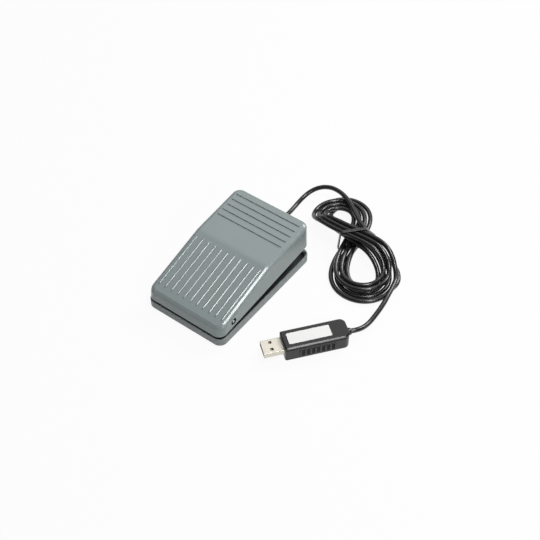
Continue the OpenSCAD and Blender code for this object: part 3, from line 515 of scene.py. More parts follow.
def cut(piece, cutter):
    pick_up(piece)
    change = piece.modifiers.new("cut", "BOOLEAN")
    change.operation = "DIFFERENCE"
    change.object = cutter
    change.solver = "EXACT"
    bpy.ops.object.modifier_apply(modifier=change.name)
    bpy.data.objects.remove(cutter)


def thicken(piece, wall, side=-1):
    """Gives a skin its wall: inwards at side -1, to both sides at 0."""
    pick_up(piece)
    change = piece.modifiers.new("wall", "SOLIDIFY")
    change.thickness = wall * M
    change.offset = side
    change.use_even_offset = True
    bpy.ops.object.modifier_apply(modifier=change.name)


def turned(name, stations, sides=40):
    """A turned piece along Z: a ring is extruded from station to station (height, radius)."""
    put_down()
    height, radius = stations[0]
    bpy.ops.mesh.primitive_circle_add(
        vertices=sides, radius=radius * M, location=(0, 0, height * M), fill_type="NGON"
    )
    piece = bpy.context.object
    piece.name = name
    settle(piece)
    choose(piece, "FACE", every)
    for new_height, new_radius in stations[1:]:
        extrude(0, 0, new_height - height)
        wider = new_radius / radius
        bpy.ops.transform.resize(
            value=(wider, wider, 1), center_override=(0, 0, new_height * M)
        )
        height, radius = new_height, new_radius
    bpy.ops.mesh.select_all(action="SELECT")
    bpy.ops.mesh.normals_make_consistent(inside=False)
    put_down()
    return piece


def stand(piece, turn, place):
    piece.rotation_euler = turn
    piece.location = Vector(place) * M
    return settle(piece)


def finish_piece(piece, name, slot, body, *nodes, angle=35):
    piece.name = name
    piece.data.materials.clear()
    piece.data.materials.append(FINISHES[slot])
    if piece.type == "MESH":
        pick_up(piece)
        bpy.ops.object.shade_smooth_by_angle(angle=math.radians(angle))
        change = piece.modifiers.new("flat_faces", "WEIGHTED_NORMAL")
        change.keep_sharp = True
        bpy.ops.object.modifier_apply(modifier=change.name)
    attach(piece, body)
    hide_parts(*nodes)
    put_down()
    return piece


# Cord: one line from the clamp in the base through the lead, the hank and the tail into the plug

CORD = 3.5
CORD_EXIT_X, CORD_EXIT_Z = -5, 5
PLUG_LENGTH, PLUG_CORD_Z = 45.5, 6.4
HANK = (51.3, 79.5)
HANK_TURN = math.radians(-42)
FIRST_TURN, LAST_TURN, LOOP_RINGS = -1 / 12, 5 + 7 / 8, 48
TURNS_BELOW, CLIMB = 3, 0.26
LOOP_HALF, LOOP_SHORTENING, LOOP_SPREAD, END_ROUNDNESS = 46.5, 4.0, 15.6, 0.08
LOOP_PITCH, OUTER_STEP, LAYER_PITCH = 4.1, 1.75, 4.6
LAYER_TILTS = (math.radians(-3), math.radians(5))
LAYER_SHIFTS = (Vector((0, 1)), Vector((1, -2)))
CROSSING_REACH, CROSSING_END, CROSSING_LAYERS = 13, 39, 2
TIE_WIDTH, TIE_THICKNESS, TIE_GAP = 2.6, 0.8, 0.15

# Straight run through the clamp and the strain relief, then bends of the lead behind the base
CLAMPED_Y = (36, 46, 56, 66)
LEAD_BENDS = [
    (-5, 70, 5), (-5.2, 75, 4.3), (-5.8, 81, 3.2), (-6.5, 87, 2.6), (-6.8, 93, 2.9),
    (-6.3, 99, 4.1), (-4.3, 105, 6.2), (0, 110, 8.6), (6, 113, 10.3), (13, 113.6, 11.2),
]
# Bends of the lead on the hank, from the hank's middle; the tie holds two of them
LEAD_TIED = [(-2, 12.7, 10.2), (2, 14.5, 8.6)]
LEAD_OVER = [
    (-43, 4.5, 11.2), (-35, 6.5, 11), (-27, 7.5, 11), (-19, 8.2, 11.2), (-10, 9.6, 11.4),
    *LEAD_TIED,
    (6, 16.6, 6.4), (12, 19.6, 3.6), (19, 22.8, 2), (27, 25, 1.8), (34.5, 25, 1.8),
]
# Bends of the tail, from the hank's middle, then from the plug's USB end
TAIL_BENDS = [(40, 21.2, 5.6), (47, 17, 5.6), (53.6, 12, 5.5), (60, 7, 5.1)]
TAIL_TO_PLUG = [(67.5, 8.5, 4.4), (63, 5, 4.4), (58.8, 2.3, 5.1), (55.3, 0.7, 5.9)]
PLUG_RUN = (52, 48.5, 44.5, 40.5)


def spun(x, y, turn):
    c, s = math.cos(turn), math.sin(turn)
    return Vector((x * c - y * s, x * s + y * c))


def in_hank(along, aside, z):
    at = spun(along, aside, HANK_TURN)
    return Vector((HANK[0] + at.x, HANK[1] + at.y, z))


def in_plug(along, aside, z):
    at = spun(along, aside, PLUG_TURN)
    return Vector((PLUG[0] + at.x, PLUG[1] + at.y, z))


def ease(v, a, b):
    r = min(max((v - a) / (b - a), 0), 1)
    return r * r * (3 - 2 * r)


def blend(pair, share):
    return pair[0] * (1 - share) + pair[1] * share


def loop_point(a, half):
    """A figure of eight with blunt ends."""
    across = END_ROUNDNESS * math.sin(4 * a) - math.sin(2 * a)
    return Vector((half * math.cos(a), LOOP_SPREAD * across))


def hank_spot(t):
    """The cord after t turns of the hank, from the hank's middle: along, across and up.

    It winds inwards on the floor, climbs and winds back out above.
    Half of the strands cross over the rest.
    """
    a, layer = 2 * math.pi * t, ease(t, TURNS_BELOW, TURNS_BELOW + CLIMB)
    half = LOOP_HALF - LOOP_SHORTENING * layer
    line = loop_point(a - 0.01, half) - loop_point(a + 0.01, half)
    aside = LOOP_PITCH * (min(t, 2 * TURNS_BELOW - t) - OUTER_STEP)
    p = loop_point(a, half) + Vector((-line.y, line.x)).normalized() * aside
    at = spun(p.x, p.y, blend(LAYER_TILTS, layer)) + blend(LAYER_SHIFTS, layer)
    over = 0
    if math.sin(a) < 0:
        over = CROSSING_LAYERS * (1 - ease(abs(at.x), CROSSING_REACH, CROSSING_END))
    lift = (TIE_THICKNESS + TIE_GAP) * (1 - ease(abs(at.x), TIE_WIDTH, CROSSING_END))
    return Vector((at.x, at.y, CORD / 2 + LAYER_PITCH * (layer + over) + lift))


def cord_points():
    rings = round((LAST_TURN - FIRST_TURN) * LOOP_RINGS)
    hank = [in_hank(*hank_spot(FIRST_TURN + i / LOOP_RINGS)) for i in range(rings + 1)]
    into = (hank[1] - hank[0]).normalized()
    inside = [Vector((CORD_EXIT_X, y, CORD_EXIT_Z)) for y in CLAMPED_Y]
    lead = [Vector(p) for p in LEAD_BENDS] + [in_hank(*p) for p in LEAD_OVER]
    lead += [hank[0] - into * 2 * CORD]
    tail = [in_hank(*p) for p in TAIL_BENDS] + [in_plug(*p) for p in TAIL_TO_PLUG]
    plug = [in_plug(along, 0, PLUG_CORD_Z) for along in PLUG_RUN]
    return inside + lead + hank + tail + plug


def bent_line(name, points, thickness, fine=5, sides=5):
    """A round line that bends smoothly through points."""
    line = bpy.data.curves.new(name, "CURVE")
    line.dimensions = "3D"
    line.bevel_depth = thickness / 2 * M
    line.bevel_resolution = sides
    line.resolution_u = fine
    line.use_fill_caps = True
    spline = line.splines.new("BEZIER")
    spline.bezier_points.add(len(points) - 1)
    for knot, point in zip(spline.bezier_points, points):
        knot.co = Vector(point) * M
        knot.handle_left_type = knot.handle_right_type = "AUTO"
    piece = bpy.data.objects.new(name, line)
    scene.collection.objects.link(piece)
    return piece


def to_mesh(piece):
    pick_up(piece)
    bpy.ops.object.convert(target="MESH")
    return bpy.context.object


cord = bent_line("cord", cord_points(), CORD)
finish_piece(
    cord, "cord", "cord_pvc", "base",
    "cord_inner_end", "cord_lead", "cord_hank", "cord_tail", "plug_cord_end",
)


# Pedal cover

TRAVEL = math.radians(4.5)
CORNER = 6
COVER_X, COVER_TOP_X, COVER_Y, COVER_LEAN, COVER_WALL = 32.7, 32.1, 51.7, 0.6, 2.2
BLANK_LOW, BLANK_HIGH, BLANK_MIDDLE = 8, 30, 15
CREASE_Y, CREASE_Z, CREASE_RADIUS = 4.0, 32.8, 1.4
FRONT_SLOPE, REAR_SLOPE = 15.5 / 55.1, 4.4 / 47.1
FRONT_ANGLE, REAR_ANGLE = math.atan(FRONT_SLOPE), math.atan(REAR_SLOPE)
BORDER, BORDER_DROP, BORDER_BENDS = 2.8, 1.15, (18, 27)
# The lower edge's way below the pin, and how far above it its own and the upper edges are found
LOWER_EDGE, LOWER_ZONE, UPPER_ZONE = 4.5, 0.35, 4
RIB_HALF, RIB_ROOT, RIB_HEIGHT, RIB_END, RIB_PITCH = 0.8, 0.5, 0.7, 0.78, 5.5
RIDGES, RIDGE_LENGTH, RIDGE_FIRST_X, RIDGE_Y, RIDGE_FOOT = 11, 45.4, -27.5, -22.3, 0.05
# The two steps of a ridge's crest: rise, share of the width kept, length lost
RIDGE_STEPS = ((0.42, 0.65, 0.5), (0.215, 0.02, 1.1))
CROSS_RIBS, CROSS_LENGTH, CROSS_FIRST_Y = 5, 56, 22.8
SPRING_Y, SPRING_SEAT, CUP_RADIUS = 28, 3.05, 6.9
TOWER_LOW, TOWER_HIGH, TOWER_SEAT, TOWER_WALL = 13.92, 34, 31.89, 0.6
PIN_HOLE_ENDS, PIN_BOSS, PIN_BOSS_ENDS = (28, 40), 3.4, (27.7, 30.4)
BORE_WALL, BORE_DEPTH, MOUTH_WALL, MOUTH_DEPTH = 1.85, 1.1, 0.8, 1.5
SWITCH_X, NUB_HALF, NUB_ENDS, NUB_LOW, NUB_HIGH = -16, 3, (18.3, 21.3), 29.9, 33
LIP_HALF, LIP_ENDS, LIP_LOW, LIP_HIGH = 8, (-47.8, -45.8), 3.15, 17
# Half of the hinge pin, from its shoulder outwards: distance from the middle, radius
PIN_END = [(28.7, 1.5), (28.8, 1.0), (31.95, 1.0), (32.1, 0.9), (32.15, 0.7)]


def front_plane(y):
    return CREASE_Z + (y - CREASE_Y) * FRONT_SLOPE


def rear_plane(y):
    return CREASE_Z + (y - CREASE_Y) * REAR_SLOPE


def rib_blank(length, height):
    """A bar along Y with round ends, its foot sunk below the origin."""
    low = (-RIB_HALF, -length / 2, -RIB_ROOT)
    piece = block("rib", low, (RIB_HALF, length / 2, height))
    round_edges(piece, upright, RIB_END, steps=6)
    return piece


def rib(length):
    """One cross rib with a rounded crest."""
    piece = rib_blank(length, RIB_HEIGHT)
    round_edges(piece, top_edge, radius=0.65, steps=5)
    return piece


def ridge(length):
    """One lengthwise grip rib. Its crest is a low roof whose slopes each catch light as a line."""
    piece = rib_blank(length, RIDGE_FOOT)
    choose(piece, "FACE", top_face)
    for rise, narrower, shorter in RIDGE_STEPS:
        extrude(0, 0, rise)
        size = (narrower, 1 - shorter / length, 1)
        bpy.ops.transform.resize(value=size, center_override=(0, 0, 0))
    put_down()
    return piece


def grip_ribs():
    place = (RIDGE_FIRST_X, RIDGE_Y, front_plane(RIDGE_Y))
    along = stand(ridge(RIDGE_LENGTH), (FRONT_ANGLE, 0, 0), place)
    across = stand(rib(CROSS_LENGTH), (0, 0, QUARTER_TURN), (0, 0, 0))
    place = (0, CROSS_FIRST_Y, rear_plane(CROSS_FIRST_Y))
    across = stand(across, (REAR_ANGLE, 0, 0), place)
    ribs = [along] + [copy_of(along, (RIB_PITCH * i, 0, 0)) for i in range(1, RIDGES)]
    steps = [RIB_PITCH * i for i in range(1, CROSS_RIBS)]
    return ribs + [across] + [copy_of(across, (0, step, step * REAR_SLOPE)) for step in steps]


def outside(edge):
    """True for an edge on the cover's outer face."""
    at = middle(edge)
    past_x = max(abs(at.x) - (COVER_TOP_X - CORNER), 0)
    past_y = max(abs(at.y) - (COVER_Y - COVER_LEAN - CORNER), 0)
    return math.hypot(past_x, past_y) > CORNER - COVER_WALL / 2


def at_corner(edge):
    at = middle(edge)
    return upright(edge) and abs(at.x) > COVER_X - CORNER and abs(at.y) > COVER_Y - CORNER


def along_border(edge):
    """True where the sloped border bends into the top."""
    least, most = BORDER_BENDS
    looks_up = all(face.normal.z > 0.7 for face in edge.link_faces)
    return looks_up and sharp(edge, least) and not sharp(edge, most)


def on_pin(x):
    return (x, PIN_Y, PIN_Z)


def on_crease(edge):
    return all(
        abs(middle(v).y - CREASE_Y) < NEAR and middle(v).z > BLANK_MIDDLE for v in edge.verts
    )


def cover_shell():
    shell = block("shell", (-COVER_X, -COVER_Y, BLANK_LOW), (COVER_X, COVER_Y, BLANK_HIGH))
    choose(shell, "FACE", every)
    bpy.ops.mesh.bisect(plane_co=(0, CREASE_Y * M, 0), plane_no=(0, 1, 0))
    put_down()
    for y, inward in ((-COVER_Y, COVER_LEAN), (CREASE_Y, 0), (COVER_Y, -COVER_LEAN)):
        plane = front_plane if y < CREASE_Y else rear_plane
        rise = plane(y + inward) - BLANK_HIGH - BORDER_DROP
        shift(
            shell,
            lambda v: middle(v).z > BLANK_HIGH - 1 and abs(middle(v).y - y) < NEAR,
            (0, inward, rise),
        )
    choose(shell, "VERT", lambda v: middle(v).z > BLANK_MIDDLE)
    bpy.ops.transform.resize(value=(COVER_TOP_X / COVER_X, 1, 1), center_override=(0, 0, 0))
    put_down()
    round_edges(shell, on_crease, CREASE_RADIUS, steps=4)
    round_edges(shell, at_corner, CORNER, steps=9)
    choose(shell, "FACE", top_face)
    bpy.ops.mesh.inset(thickness=BORDER * M, depth=BORDER_DROP * M, use_even_offset=True)
    put_down()
    # The lower edge is level with the rim when the pedal is down
    up = Vector((0, -math.sin(TRAVEL), math.cos(TRAVEL)))
    low = Vector(on_pin(0)) - LOWER_EDGE * up
    choose(shell, "FACE", every)
    bpy.ops.mesh.bisect(plane_co=low * M, plane_no=up, clear_inner=True)
    put_down()
    thicken(shell, COVER_WALL)

    def above_low(edge):
        return (middle(edge) - low).dot(up)

    def upper_edge(edge):
        return sharp(edge, 45) and outside(edge) and above_low(edge) > UPPER_ZONE

    def lower_edge(edge):
        return sharp(edge) and abs(above_low(edge)) < LOWER_ZONE

    round_edges(shell, along_border, radius=0.35, steps=2)
    round_edges(shell, upper_edge, radius=1.4, steps=5)
    round_edges(shell, lower_edge, radius=0.3, steps=2)
    start, end = PIN_HOLE_ENDS
    for side in (-1, 1):
        cut(shell, rod("cutter", PIN_HOLE, on_pin(side * start), on_pin(side * end)))
    return shell


def spring_tower():
    tower = rod("tower", CUP_RADIUS, (0, SPRING_Y, TOWER_LOW), (0, SPRING_Y, TOWER_HIGH))
    hollow(tower, bottom_face, TOWER_WALL, press=(0, 0, TOWER_SEAT - TOWER_LOW))
    round_edges(
        tower, lambda e: sharp(e) and middle(e).z < TOWER_LOW + NEAR, radius=0.25, steps=2
    )
    return tower


def pin_boss(side):
    """A boss in the cover's side: a bore for the pin inside, a wider mouth outside."""
    inner, outer = PIN_BOSS_ENDS
    boss = rod("boss", PIN_BOSS, on_pin(side * inner), on_pin(side * outer))
    for way, wall, depth in ((-side, BORE_WALL, BORE_DEPTH), (side, MOUTH_WALL, MOUTH_DEPTH)):
        hollow(boss, lambda face: face.normal.x * way > FACING, wall, press=(-way * depth, 0, 0))
    return boss


def lever_nub():
    """The nub that presses the switch's lever, rounded where it slides."""
    start, end = NUB_ENDS
    low = (SWITCH_X - NUB_HALF, start, NUB_LOW)
    nub = block("nub", low, (SWITCH_X + NUB_HALF, end, NUB_HIGH))
    round_edges(
        nub,
        lambda e: middle(e).z < NUB_LOW + NEAR and abs(middle(e).x - SWITCH_X) < NEAR,
        radius=1.45,
        steps=8,
    )
    return nub


def rest_lip():
    """The lip that meets the tray's floor and holds the raised pedal at rest."""
    start, end = LIP_ENDS
    lip = block("lip", (-LIP_HALF, start, LIP_LOW), (LIP_HALF, end, LIP_HIGH))
    round_edges(lip, lambda e: middle(e).z < LIP_LOW + NEAR, radius=0.4, steps=3)
    return lip


inner_features = [spring_tower(), pin_boss(-1), pin_boss(1), lever_nub(), rest_lip()]
cover = join([cover_shell()] + grip_ribs() + inner_features)
finish_piece(cover, "cover", "cover_plastic", "pedal", "pedal_cover", angle=30)


def hinge_pin():
    """A pin with turned-down ends, which show in the cover's side."""
    pin = turned("pin", [(-x, radius) for x, radius in reversed(PIN_END)] + PIN_END)
    return stand(pin, (0, QUARTER_TURN, 0), on_pin(0))


finish_piece(hinge_pin(), "hinge_rod", "steel", "base", "hinge_pin")


# Base tray

BASE_X, BASE_Y, BASE_LOW, BASE_WALL = 33, 52, 1, 2.2
RIM_TOP, RIM_WIDTH, LEAD_IN = 7.3, 0.9, 5.5
ROOT = 2.5
EAR_INNER, EAR_OUTER, EAR_HALF = 23.4, 27.4, 3
CUP_TOP, CUP_WALL = 8, 1.6
BOSS_X, BOSS_YS, BOSS_RADIUS, BOSS_TOP = -26.75, (7, 20.8), 3, 5


def pin_ear(side):
    inner, outer = sorted((side * EAR_INNER, side * EAR_OUTER))
    top = PIN_Z + EAR_HALF
    ear = block("ear", (inner, PIN_Y - EAR_HALF, ROOT), (outer, PIN_Y + EAR_HALF, top))

    def crosses_top(edge):
        at = middle(edge)
        return at.z > top - NEAR and EAR_INNER + NEAR < abs(at.x) < EAR_OUTER - NEAR

    def on_side_face(edge):
        return abs(edge.verts[0].co.x - edge.verts[1].co.x) < 1e-6 and middle(edge).z > TRAY_FLOOR

    round_edges(ear, crosses_top, radius=2.95, steps=9)
    round_edges(ear, lambda e: sharp(e) and on_side_face(e), radius=0.25, steps=2)
    return ear


def spring_cup():
    cup = rod("cup", CUP_RADIUS, (0, SPRING_Y, ROOT), (0, SPRING_Y, CUP_TOP))
    hollow(cup, top_face, CUP_WALL, press=(0, 0, SPRING_SEAT - CUP_TOP))
    round_edges(cup, lambda e: sharp(e) and middle(e).z > CUP_TOP - NEAR, radius=0.3, steps=2)
    return cup


def tray():
    """A shallow tray: a thin rim, a lead-in slope inside it and a flat floor."""
    piece = block("tray", (-BASE_X, -BASE_Y, BASE_LOW), (BASE_X, BASE_Y, RIM_TOP))
    round_edges(piece, upright, CORNER, steps=9)
    round_edges(piece, bottom_edge, radius=0.6, steps=3)
    hollow(piece, top_face, RIM_WIDTH, press=(0, 0, LEAD_IN - RIM_TOP))
    choose(piece, "FACE", lambda face: top_face(face) and abs(middle(face).z - LEAD_IN) < NEAR)
    narrower = (BASE_X - BASE_WALL) / (BASE_X - RIM_WIDTH)
    shorter = (BASE_Y - BASE_WALL) / (BASE_Y - RIM_WIDTH)
    bpy.ops.transform.resize(value=(narrower, shorter, 1), center_override=(0, 0, 0))
    extrude(0, 0, TRAY_FLOOR - LEAD_IN)
    put_down()
    round_edges(piece, lambda e: sharp(e) and middle(e).z > RIM_TOP - NEAR, radius=0.25, steps=3)
    round_edges(
        piece, lambda e: sharp(e) and abs(middle(e).z - TRAY_FLOOR) < NEAR, radius=0.6, steps=3
    )
    return piece


bosses = [rod("boss", BOSS_RADIUS, (BOSS_X, y, ROOT), (BOSS_X, y, BOSS_TOP)) for y in BOSS_YS]
base = join([tray(), pin_ear(-1), pin_ear(1), spring_cup()] + bosses)
finish_piece(base, "base", "base_plastic", "base", "base_tray")


# Feet, strain relief, spring and wires

FOOT_X, FOOT_Y = 24, 43
FOOT_SPOTS = {
    "front_left": (-FOOT_X, -FOOT_Y),
    "front_right": (FOOT_X, -FOOT_Y),
    "rear_left": (-FOOT_X, FOOT_Y),
    "rear_right": (FOOT_X, FOOT_Y),
}
FOOT_SHAPE = [(0, 4.3), (0.12, 4.75), (0.4, 5.0), (1.8, 5.0)]
FOOT_RING, FOOT_DISH = 1.6, 0.15
# Stations of the strain relief before and after its grooves: distance from the wall, radius
RELIEF_COLLAR = [
    (-3.7, 1.8), (-3.7, 2.9), (-3.55, 3.05), (-2.2, 3.05), (-2.2, 2.65), (0, 2.65),
    (0, 2.95), (0.12, 3.05), (1.3, 3.05), (1.5, 2.95),
]
RELIEF_TIP = [(13.75, 2.4), (13.95, 2.25), (14.0, 1.8)]
RELIEF_RADIUS, RELIEF_TAPER = 2.86, 0.085
GROOVES, FIRST_GROOVE, GROOVE_PITCH, GROOVE_DEPTH = 5, 2.0, 2.3, 0.42
COIL_RADIUS, COIL_WIRE, COILS, COIL_STEPS = 4.5, 1, 8, 24
SPRING_LOW, SPRING_HIGH = 3.55, 31.34
# Wires: their level, the clamp's end, the switch's lugs, and each wire's lane round the cup
WIRE, WIRE_LEVEL, CLAMP_YS, LUG_XS = 1.2, 5, (36, 35), (-12.1, -14.5)
REAR_X, REAR_LANE, REAR_LUG, REAR_ANGLES = -5.9, 9.3, 20.8, (138, 152, 166, 180)
FRONT_X, FRONT_LANE, FRONT_LUG, FRONT_ANGLES = -4.1, 7.8, 7.6, (128, 145, 162, 179)
BOARD_RUN = [(40.5, 0.9, 6.4), (39.5, 0.9, 6.4), (37.5, 1.8, 5.8), (35.5, 2.7, 5.22)]


def rubber_feet():
    """Four pads with a shallow dish pressed into the flat of each sole."""
    foot = turned("foot", FOOT_SHAPE)
    choose(foot, "FACE", lambda face: face.normal.z < -0.99)
    bpy.ops.mesh.inset(thickness=FOOT_RING * M)
    bpy.ops.transform.translate(value=(0, 0, FOOT_DISH * M))
    put_down()
    for name, (x, y) in FOOT_SPOTS.items():
        pad = copy_of(foot, (x, y, 0))
        finish_piece(pad, name + "_pad", "foot_rubber", "base", name + "_foot")
    bpy.data.objects.remove(foot)


rubber_feet()


def strain_relief():
    """Collar in the base's wall and a tapered tail with grooves that let it bend."""
    grooves = []
    for i in range(GROOVES):
        start, wide = FIRST_GROOVE + GROOVE_PITCH * i, RELIEF_RADIUS - RELIEF_TAPER * i
        deep = wide - GROOVE_DEPTH
        grooves += [(start, wide), (start + 0.1, deep), (start + 0.8, deep - 0.03)]
        grooves += [(start + 0.9, wide - 0.03), (start + 2.2, wide - 0.08)]
    tail = turned("relief", RELIEF_COLLAR + grooves + RELIEF_TIP)
    return stand(tail, (-QUARTER_TURN, 0, 0), (CORD_EXIT_X, BASE_Y, CORD_EXIT_Z))


finish_piece(strain_relief(), "strain_relief", "cord_pvc", "base", "cord_grommet", angle=40)


def coil_point(i):
    a = 2 * math.pi * i / COIL_STEPS
    rise = (SPRING_HIGH - SPRING_LOW) * i / (COIL_STEPS * COILS)
    return (COIL_RADIUS * math.cos(a), SPRING_Y + COIL_RADIUS * math.sin(a), SPRING_LOW + rise)


coil = [coil_point(i) for i in range(COIL_STEPS * COILS + 1)]
spring = to_mesh(bent_line("spring", coil, COIL_WIRE, fine=2, sides=4))
finish_piece(spring, "spring", "spring_steel", "base", "return_spring", angle=60)
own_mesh(spring)


def round_cup(lane, degrees):
    """A bend of a wire's lane round the spring cup."""
    a = math.radians(degrees)
    return (lane * math.cos(a), SPRING_Y + lane * math.sin(a), WIRE_LEVEL)


def from_clamp(x, lane, angles):
    """A wire's way from the cord's clamp round the spring cup."""
    return [(x, y, WIRE_LEVEL) for y in CLAMP_YS] + [round_cup(lane, a) for a in angles]


def to_lug(x, y):
    """A wire's last bends, from its lane to a lug of the switch."""
    bends = [(x, y + 3.6), (x - 1.2, y + 0.8)] + [(lug_x, y) for lug_x in LUG_XS]
    return [(*bend, WIRE_LEVEL) for bend in bends]


def soft_wires(lines):
    return join([to_mesh(bent_line("wire", line, WIRE, fine=4, sides=3)) for line in lines])


rear_wire = from_clamp(REAR_X, REAR_LANE, REAR_ANGLES) + to_lug(-REAR_LANE, REAR_LUG)
front_wire = from_clamp(FRONT_X, FRONT_LANE, FRONT_ANGLES)
front_wire += [(-FRONT_LANE, REAR_LUG, WIRE_LEVEL)] + to_lug(-FRONT_LANE, FRONT_LUG)
wires = soft_wires([rear_wire, front_wire])
finish_piece(wires, "pedal_wires", "wire_red", "base", "signal_wires", angle=60)

board_lines = [
    [in_plug(along, side * aside, z) for along, aside, z in BOARD_RUN] for side in (-1, 1)
]
inner_wires = soft_wires(board_lines)
finish_piece(inner_wires, "board_wires", "wire_red", "base", "plug_wires", angle=60)


# Tie round the hank's waist


def tie_line(rounds=64, steps=240):
    """Middle line of the tie's band, drawn tight round every strand at the waist."""
    turns = [FIRST_TURN + i / steps for i in range(round((LAST_TURN - FIRST_TURN) * steps))]
    strands = [p for p in map(hank_spot, turns) if abs(p.x) < TIE_WIDTH]
    strands += [Vector(p) for p in LEAD_TIED]
    reach = CORD / 2 + TIE_GAP + TIE_THICKNESS / 2
    angles = [2 * math.pi * i / rounds for i in range(rounds)]
    rim = [
        Vector((p.y + reach * math.cos(a), p.z + reach * math.sin(a)))
        for p in strands
        for a in angles
    ]
    return [rim[i] for i in convex_hull_2d(rim)]


def hank_band():
    line = tie_line()
    put_down()
    bpy.ops.mesh.primitive_circle_add(vertices=len(line), radius=0.01)
    band = bpy.context.object
    for corner, (across, up) in zip(band.data.vertices, line):
        corner.co = Vector((-TIE_WIDTH / 2, across, up)) * M
    choose(band, "EDGE", every)
    extrude(TIE_WIDTH, 0, 0)
    bpy.ops.mesh.select_all(action="SELECT")
    bpy.ops.mesh.normals_make_consistent(inside=False)
    put_down()
    thicken(band, TIE_THICKNESS, side=0)
    round_edges(band, lambda e: sharp(e, 70), radius=0.25, steps=3)
    return stand(band, (0, 0, HANK_TURN), (*HANK, 0))


tie = finish_piece(hank_band(), "tie", "tie_pvc", "base", "hank_tie")


# Plug, modelled along X from its USB end and then turned to its place

CAP_TOP, TUB_WALL, TUB_FLOOR = 12.5, 1.5, 1.5
PLUG_CORD_CORNER, PLUG_USB_CORNER = 4, 1.5
BAR_OUT = 0.5
LABEL_ENDS, LABEL_HALF, LABEL_FILM = (3.6, 33.6), 4.7, 0.15
USB_MOUTH, USB_ROOT, USB_HALF, USB_LOW, USB_HIGH = -14, 7, 6, 4.62, 9.12
USB_SHEET, USB_CORNER = 0.3, 0.7
WINDOW_ENDS, WINDOW_Y, WINDOW_HALF, WINDOW_CUT = (-9, -6.8), 3, 1.1, (2, 12)
# Stations of the collar: distance from the plug's end wall, radius
COLLAR_SHAPE = [
    (-2.5, 1.8), (-2.5, 2.75), (-2.4, 2.85), (-1.5, 2.85), (-1.5, 2.45), (0, 2.45),
    (0, 2.75), (0.1, 2.85), (1.4, 2.8), (1.6, 2.62), (2.7, 2.35), (2.92, 2.2), (3.0, 1.8),
]


def at_cord_end(edge):
    return middle(edge).x > PLUG_LENGTH / 2


def plug_block(name, low_z, high_z):
    """Blank of the tub or the cap: wide corners at the cord, tight ones at the USB end."""
    piece = block(name, (0, -PLUG_HALF, low_z), (PLUG_LENGTH, PLUG_HALF, high_z))
    round_edges(piece, lambda e: upright(e) and at_cord_end(e), PLUG_CORD_CORNER, steps=9)
    round_edges(piece, lambda e: upright(e) and not at_cord_end(e), PLUG_USB_CORNER, steps=6)
    return piece


def to_plug(piece):
    return stand(piece, (0, 0, PLUG_TURN), (*PLUG, 0))


def grip_bars():
    bar = block("bar", (-BAR_HALF, -BAR_OUT, BAR_LOW), (BAR_HALF, BAR_OUT, BAR_HIGH))
    round_edges(bar, sharp, radius=0.3, steps=3)
    bars = [
        copy_of(bar, (FIRST_BAR + BAR_PITCH * i, side * PLUG_HALF, 0))
        for i in range(BARS)
        for side in (-1, 1)
    ]
    bpy.data.objects.remove(bar)
    return bars


def plug_tub():
    tub = plug_block("tub", 0, TUB_TOP)
    round_edges(tub, bottom_edge, radius=0.5, steps=3)
    hollow(tub, top_face, TUB_WALL, press=(0, 0, TUB_FLOOR - TUB_TOP))
    round_edges(tub, lambda e: sharp(e) and middle(e).z > TUB_TOP - NEAR, radius=0.5, steps=2)
    return to_plug(join([tub] + grip_bars()))


def plug_cap():
    cap = plug_block("cap", CAP_LOW, CAP_TOP)
    round_edges(cap, top_edge, radius=0.8, steps=1)
    round_edges(cap, bottom_edge, radius=0.4, steps=2)
    return to_plug(cap)


def blank_label():
    start, end = LABEL_ENDS
    low = (start, -LABEL_HALF, CAP_TOP)
    label = block("label", low, (end, LABEL_HALF, CAP_TOP + LABEL_FILM))
    round_edges(label, upright, radius=0.8, steps=5)
    round_edges(label, top_edge, radius=0.06, steps=2)
    return to_plug(label)


def shell_tube():
    """Folded sheet shell: rounded long edges, open mouth, a pair of windows above and below."""
    shell = block("shell", (USB_MOUTH, -USB_HALF, USB_LOW), (USB_ROOT, USB_HALF, USB_HIGH))
    half_way = (USB_MOUTH + USB_ROOT) / 2
    round_edges(shell, lambda e: abs(middle(e).x - half_way) < NEAR, USB_CORNER, steps=5)
    choose(shell, "FACE", lambda face: abs(face.normal.x) > FACING)
    bpy.ops.mesh.delete(type="ONLY_FACE")
    put_down()
    thicken(shell, USB_SHEET)
    start, end = WINDOW_ENDS
    bottom, top = WINDOW_CUT
    for y in (-WINDOW_Y, WINDOW_Y):
        low, high = (start, y - WINDOW_HALF, bottom), (end, y + WINDOW_HALF, top)
        cut(shell, block("cutter", low, high))
    return to_plug(shell)


def cord_collar():
    collar = turned("collar", COLLAR_SHAPE)
    return to_plug(stand(collar, (0, QUARTER_TURN, 0), (PLUG_LENGTH, 0, PLUG_CORD_Z)))


tub = finish_piece(plug_tub(), "plug_tub", "plug_black", "base", "plug_lower")
cap = finish_piece(plug_cap(), "plug_cap", "plug_black", "base", "plug_lid")
label = finish_piece(blank_label(), "plug_blank_label", "label_paper", "base", "plug_label")
shell = finish_piece(shell_tube(), "plug_shell", "nickel", "base", "usb_shell")
collar = finish_piece(cord_collar(), "cord_collar", "cord_pvc", "base", "plug_collar")


# Floor, light and background; places, sizes and powers are in metres and watts

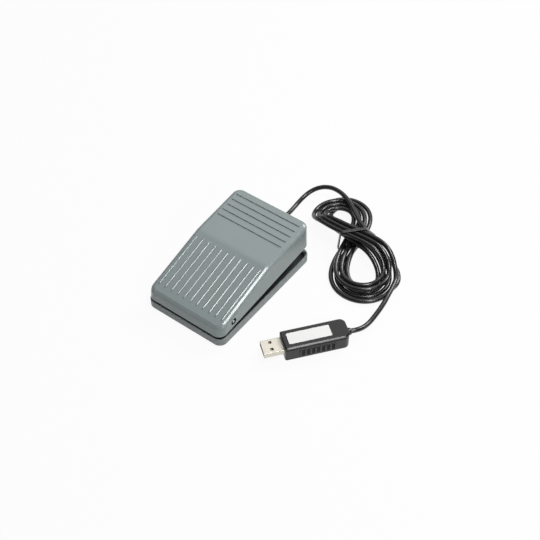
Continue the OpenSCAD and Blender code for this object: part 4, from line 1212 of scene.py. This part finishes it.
FLOOR_SIZE, FLOOR_DROP = 60, 0.0002
FLOOR_GREY, FLOOR_WHITE_SHARE = 0.75, 0.93
SKY_LEVEL = 0.13
LIT_SPOT = (0.03, 0.03, 0.01)
SOFTBOXES = [
    ("key", (0.42, 0.06, 1.22), (0.28, 0.28), 7),
    ("back", (0.25, 1.1, 0.95), (0.6, 0.5), 10),
    ("front", (1.01, -0.415, 0.735), (0.22, 0.22), 2.8),
    ("panel", (-0.62, 0.76, 1.25), (1.4, 1.0), 4.4),
]


def pale_floor():
    """A floor that looks white, also in reflections, and still takes the shadows."""
    put_down()
    bpy.ops.mesh.primitive_plane_add(size=FLOOR_SIZE, location=(0, 0, -FLOOR_DROP))
    floor = bpy.context.object
    floor.name = "floor"
    f = Finish("pale_floor")
    seen = f.node("ShaderNodeLightPath", out="Is Camera Ray")
    shiny = f.node("ShaderNodeLightPath", out="Is Glossy Ray")
    clear = f.node("ShaderNodeLightPath", out="Is Transmission Ray")
    paper = f.node("ShaderNodeBsdfDiffuse", None, {"Color": tone(1, 1, 1, level=FLOOR_GREY)})
    white = f.node("ShaderNodeEmission", None, {"Color": (1, 1, 1, 1), "Strength": 1.0})
    share = FLOOR_WHITE_SHARE * (seen + shiny + clear)
    both = f.node("ShaderNodeMixShader", None, {0: share, 1: paper, 2: white})
    f.node("ShaderNodeOutputMaterial", None, {"Surface": both})
    floor.data.materials.append(f.material)


def plain_sky():
    world = bpy.data.worlds.new("studio")
    scene.world = world
    world.use_nodes = True
    sky = world.node_tree.nodes["Background"]
    sky.inputs["Color"].default_value = (1, 1, 1, 1)
    sky.inputs["Strength"].default_value = SKY_LEVEL


def softbox(name, place, size, power):
    bpy.ops.object.light_add(type="AREA", location=place)
    lamp = bpy.context.object
    lamp.name = name
    lamp.data.shape = "RECTANGLE"
    lamp.data.size, lamp.data.size_y = size
    lamp.data.energy = power
    lamp.rotation_euler = (Vector(LIT_SPOT) - Vector(place)).to_track_quat("-Z", "Y").to_euler()


pale_floor()
plain_sky()
for lamp in SOFTBOXES:
    softbox(*lamp)
scene.view_settings.view_transform = "Standard"
put_down()
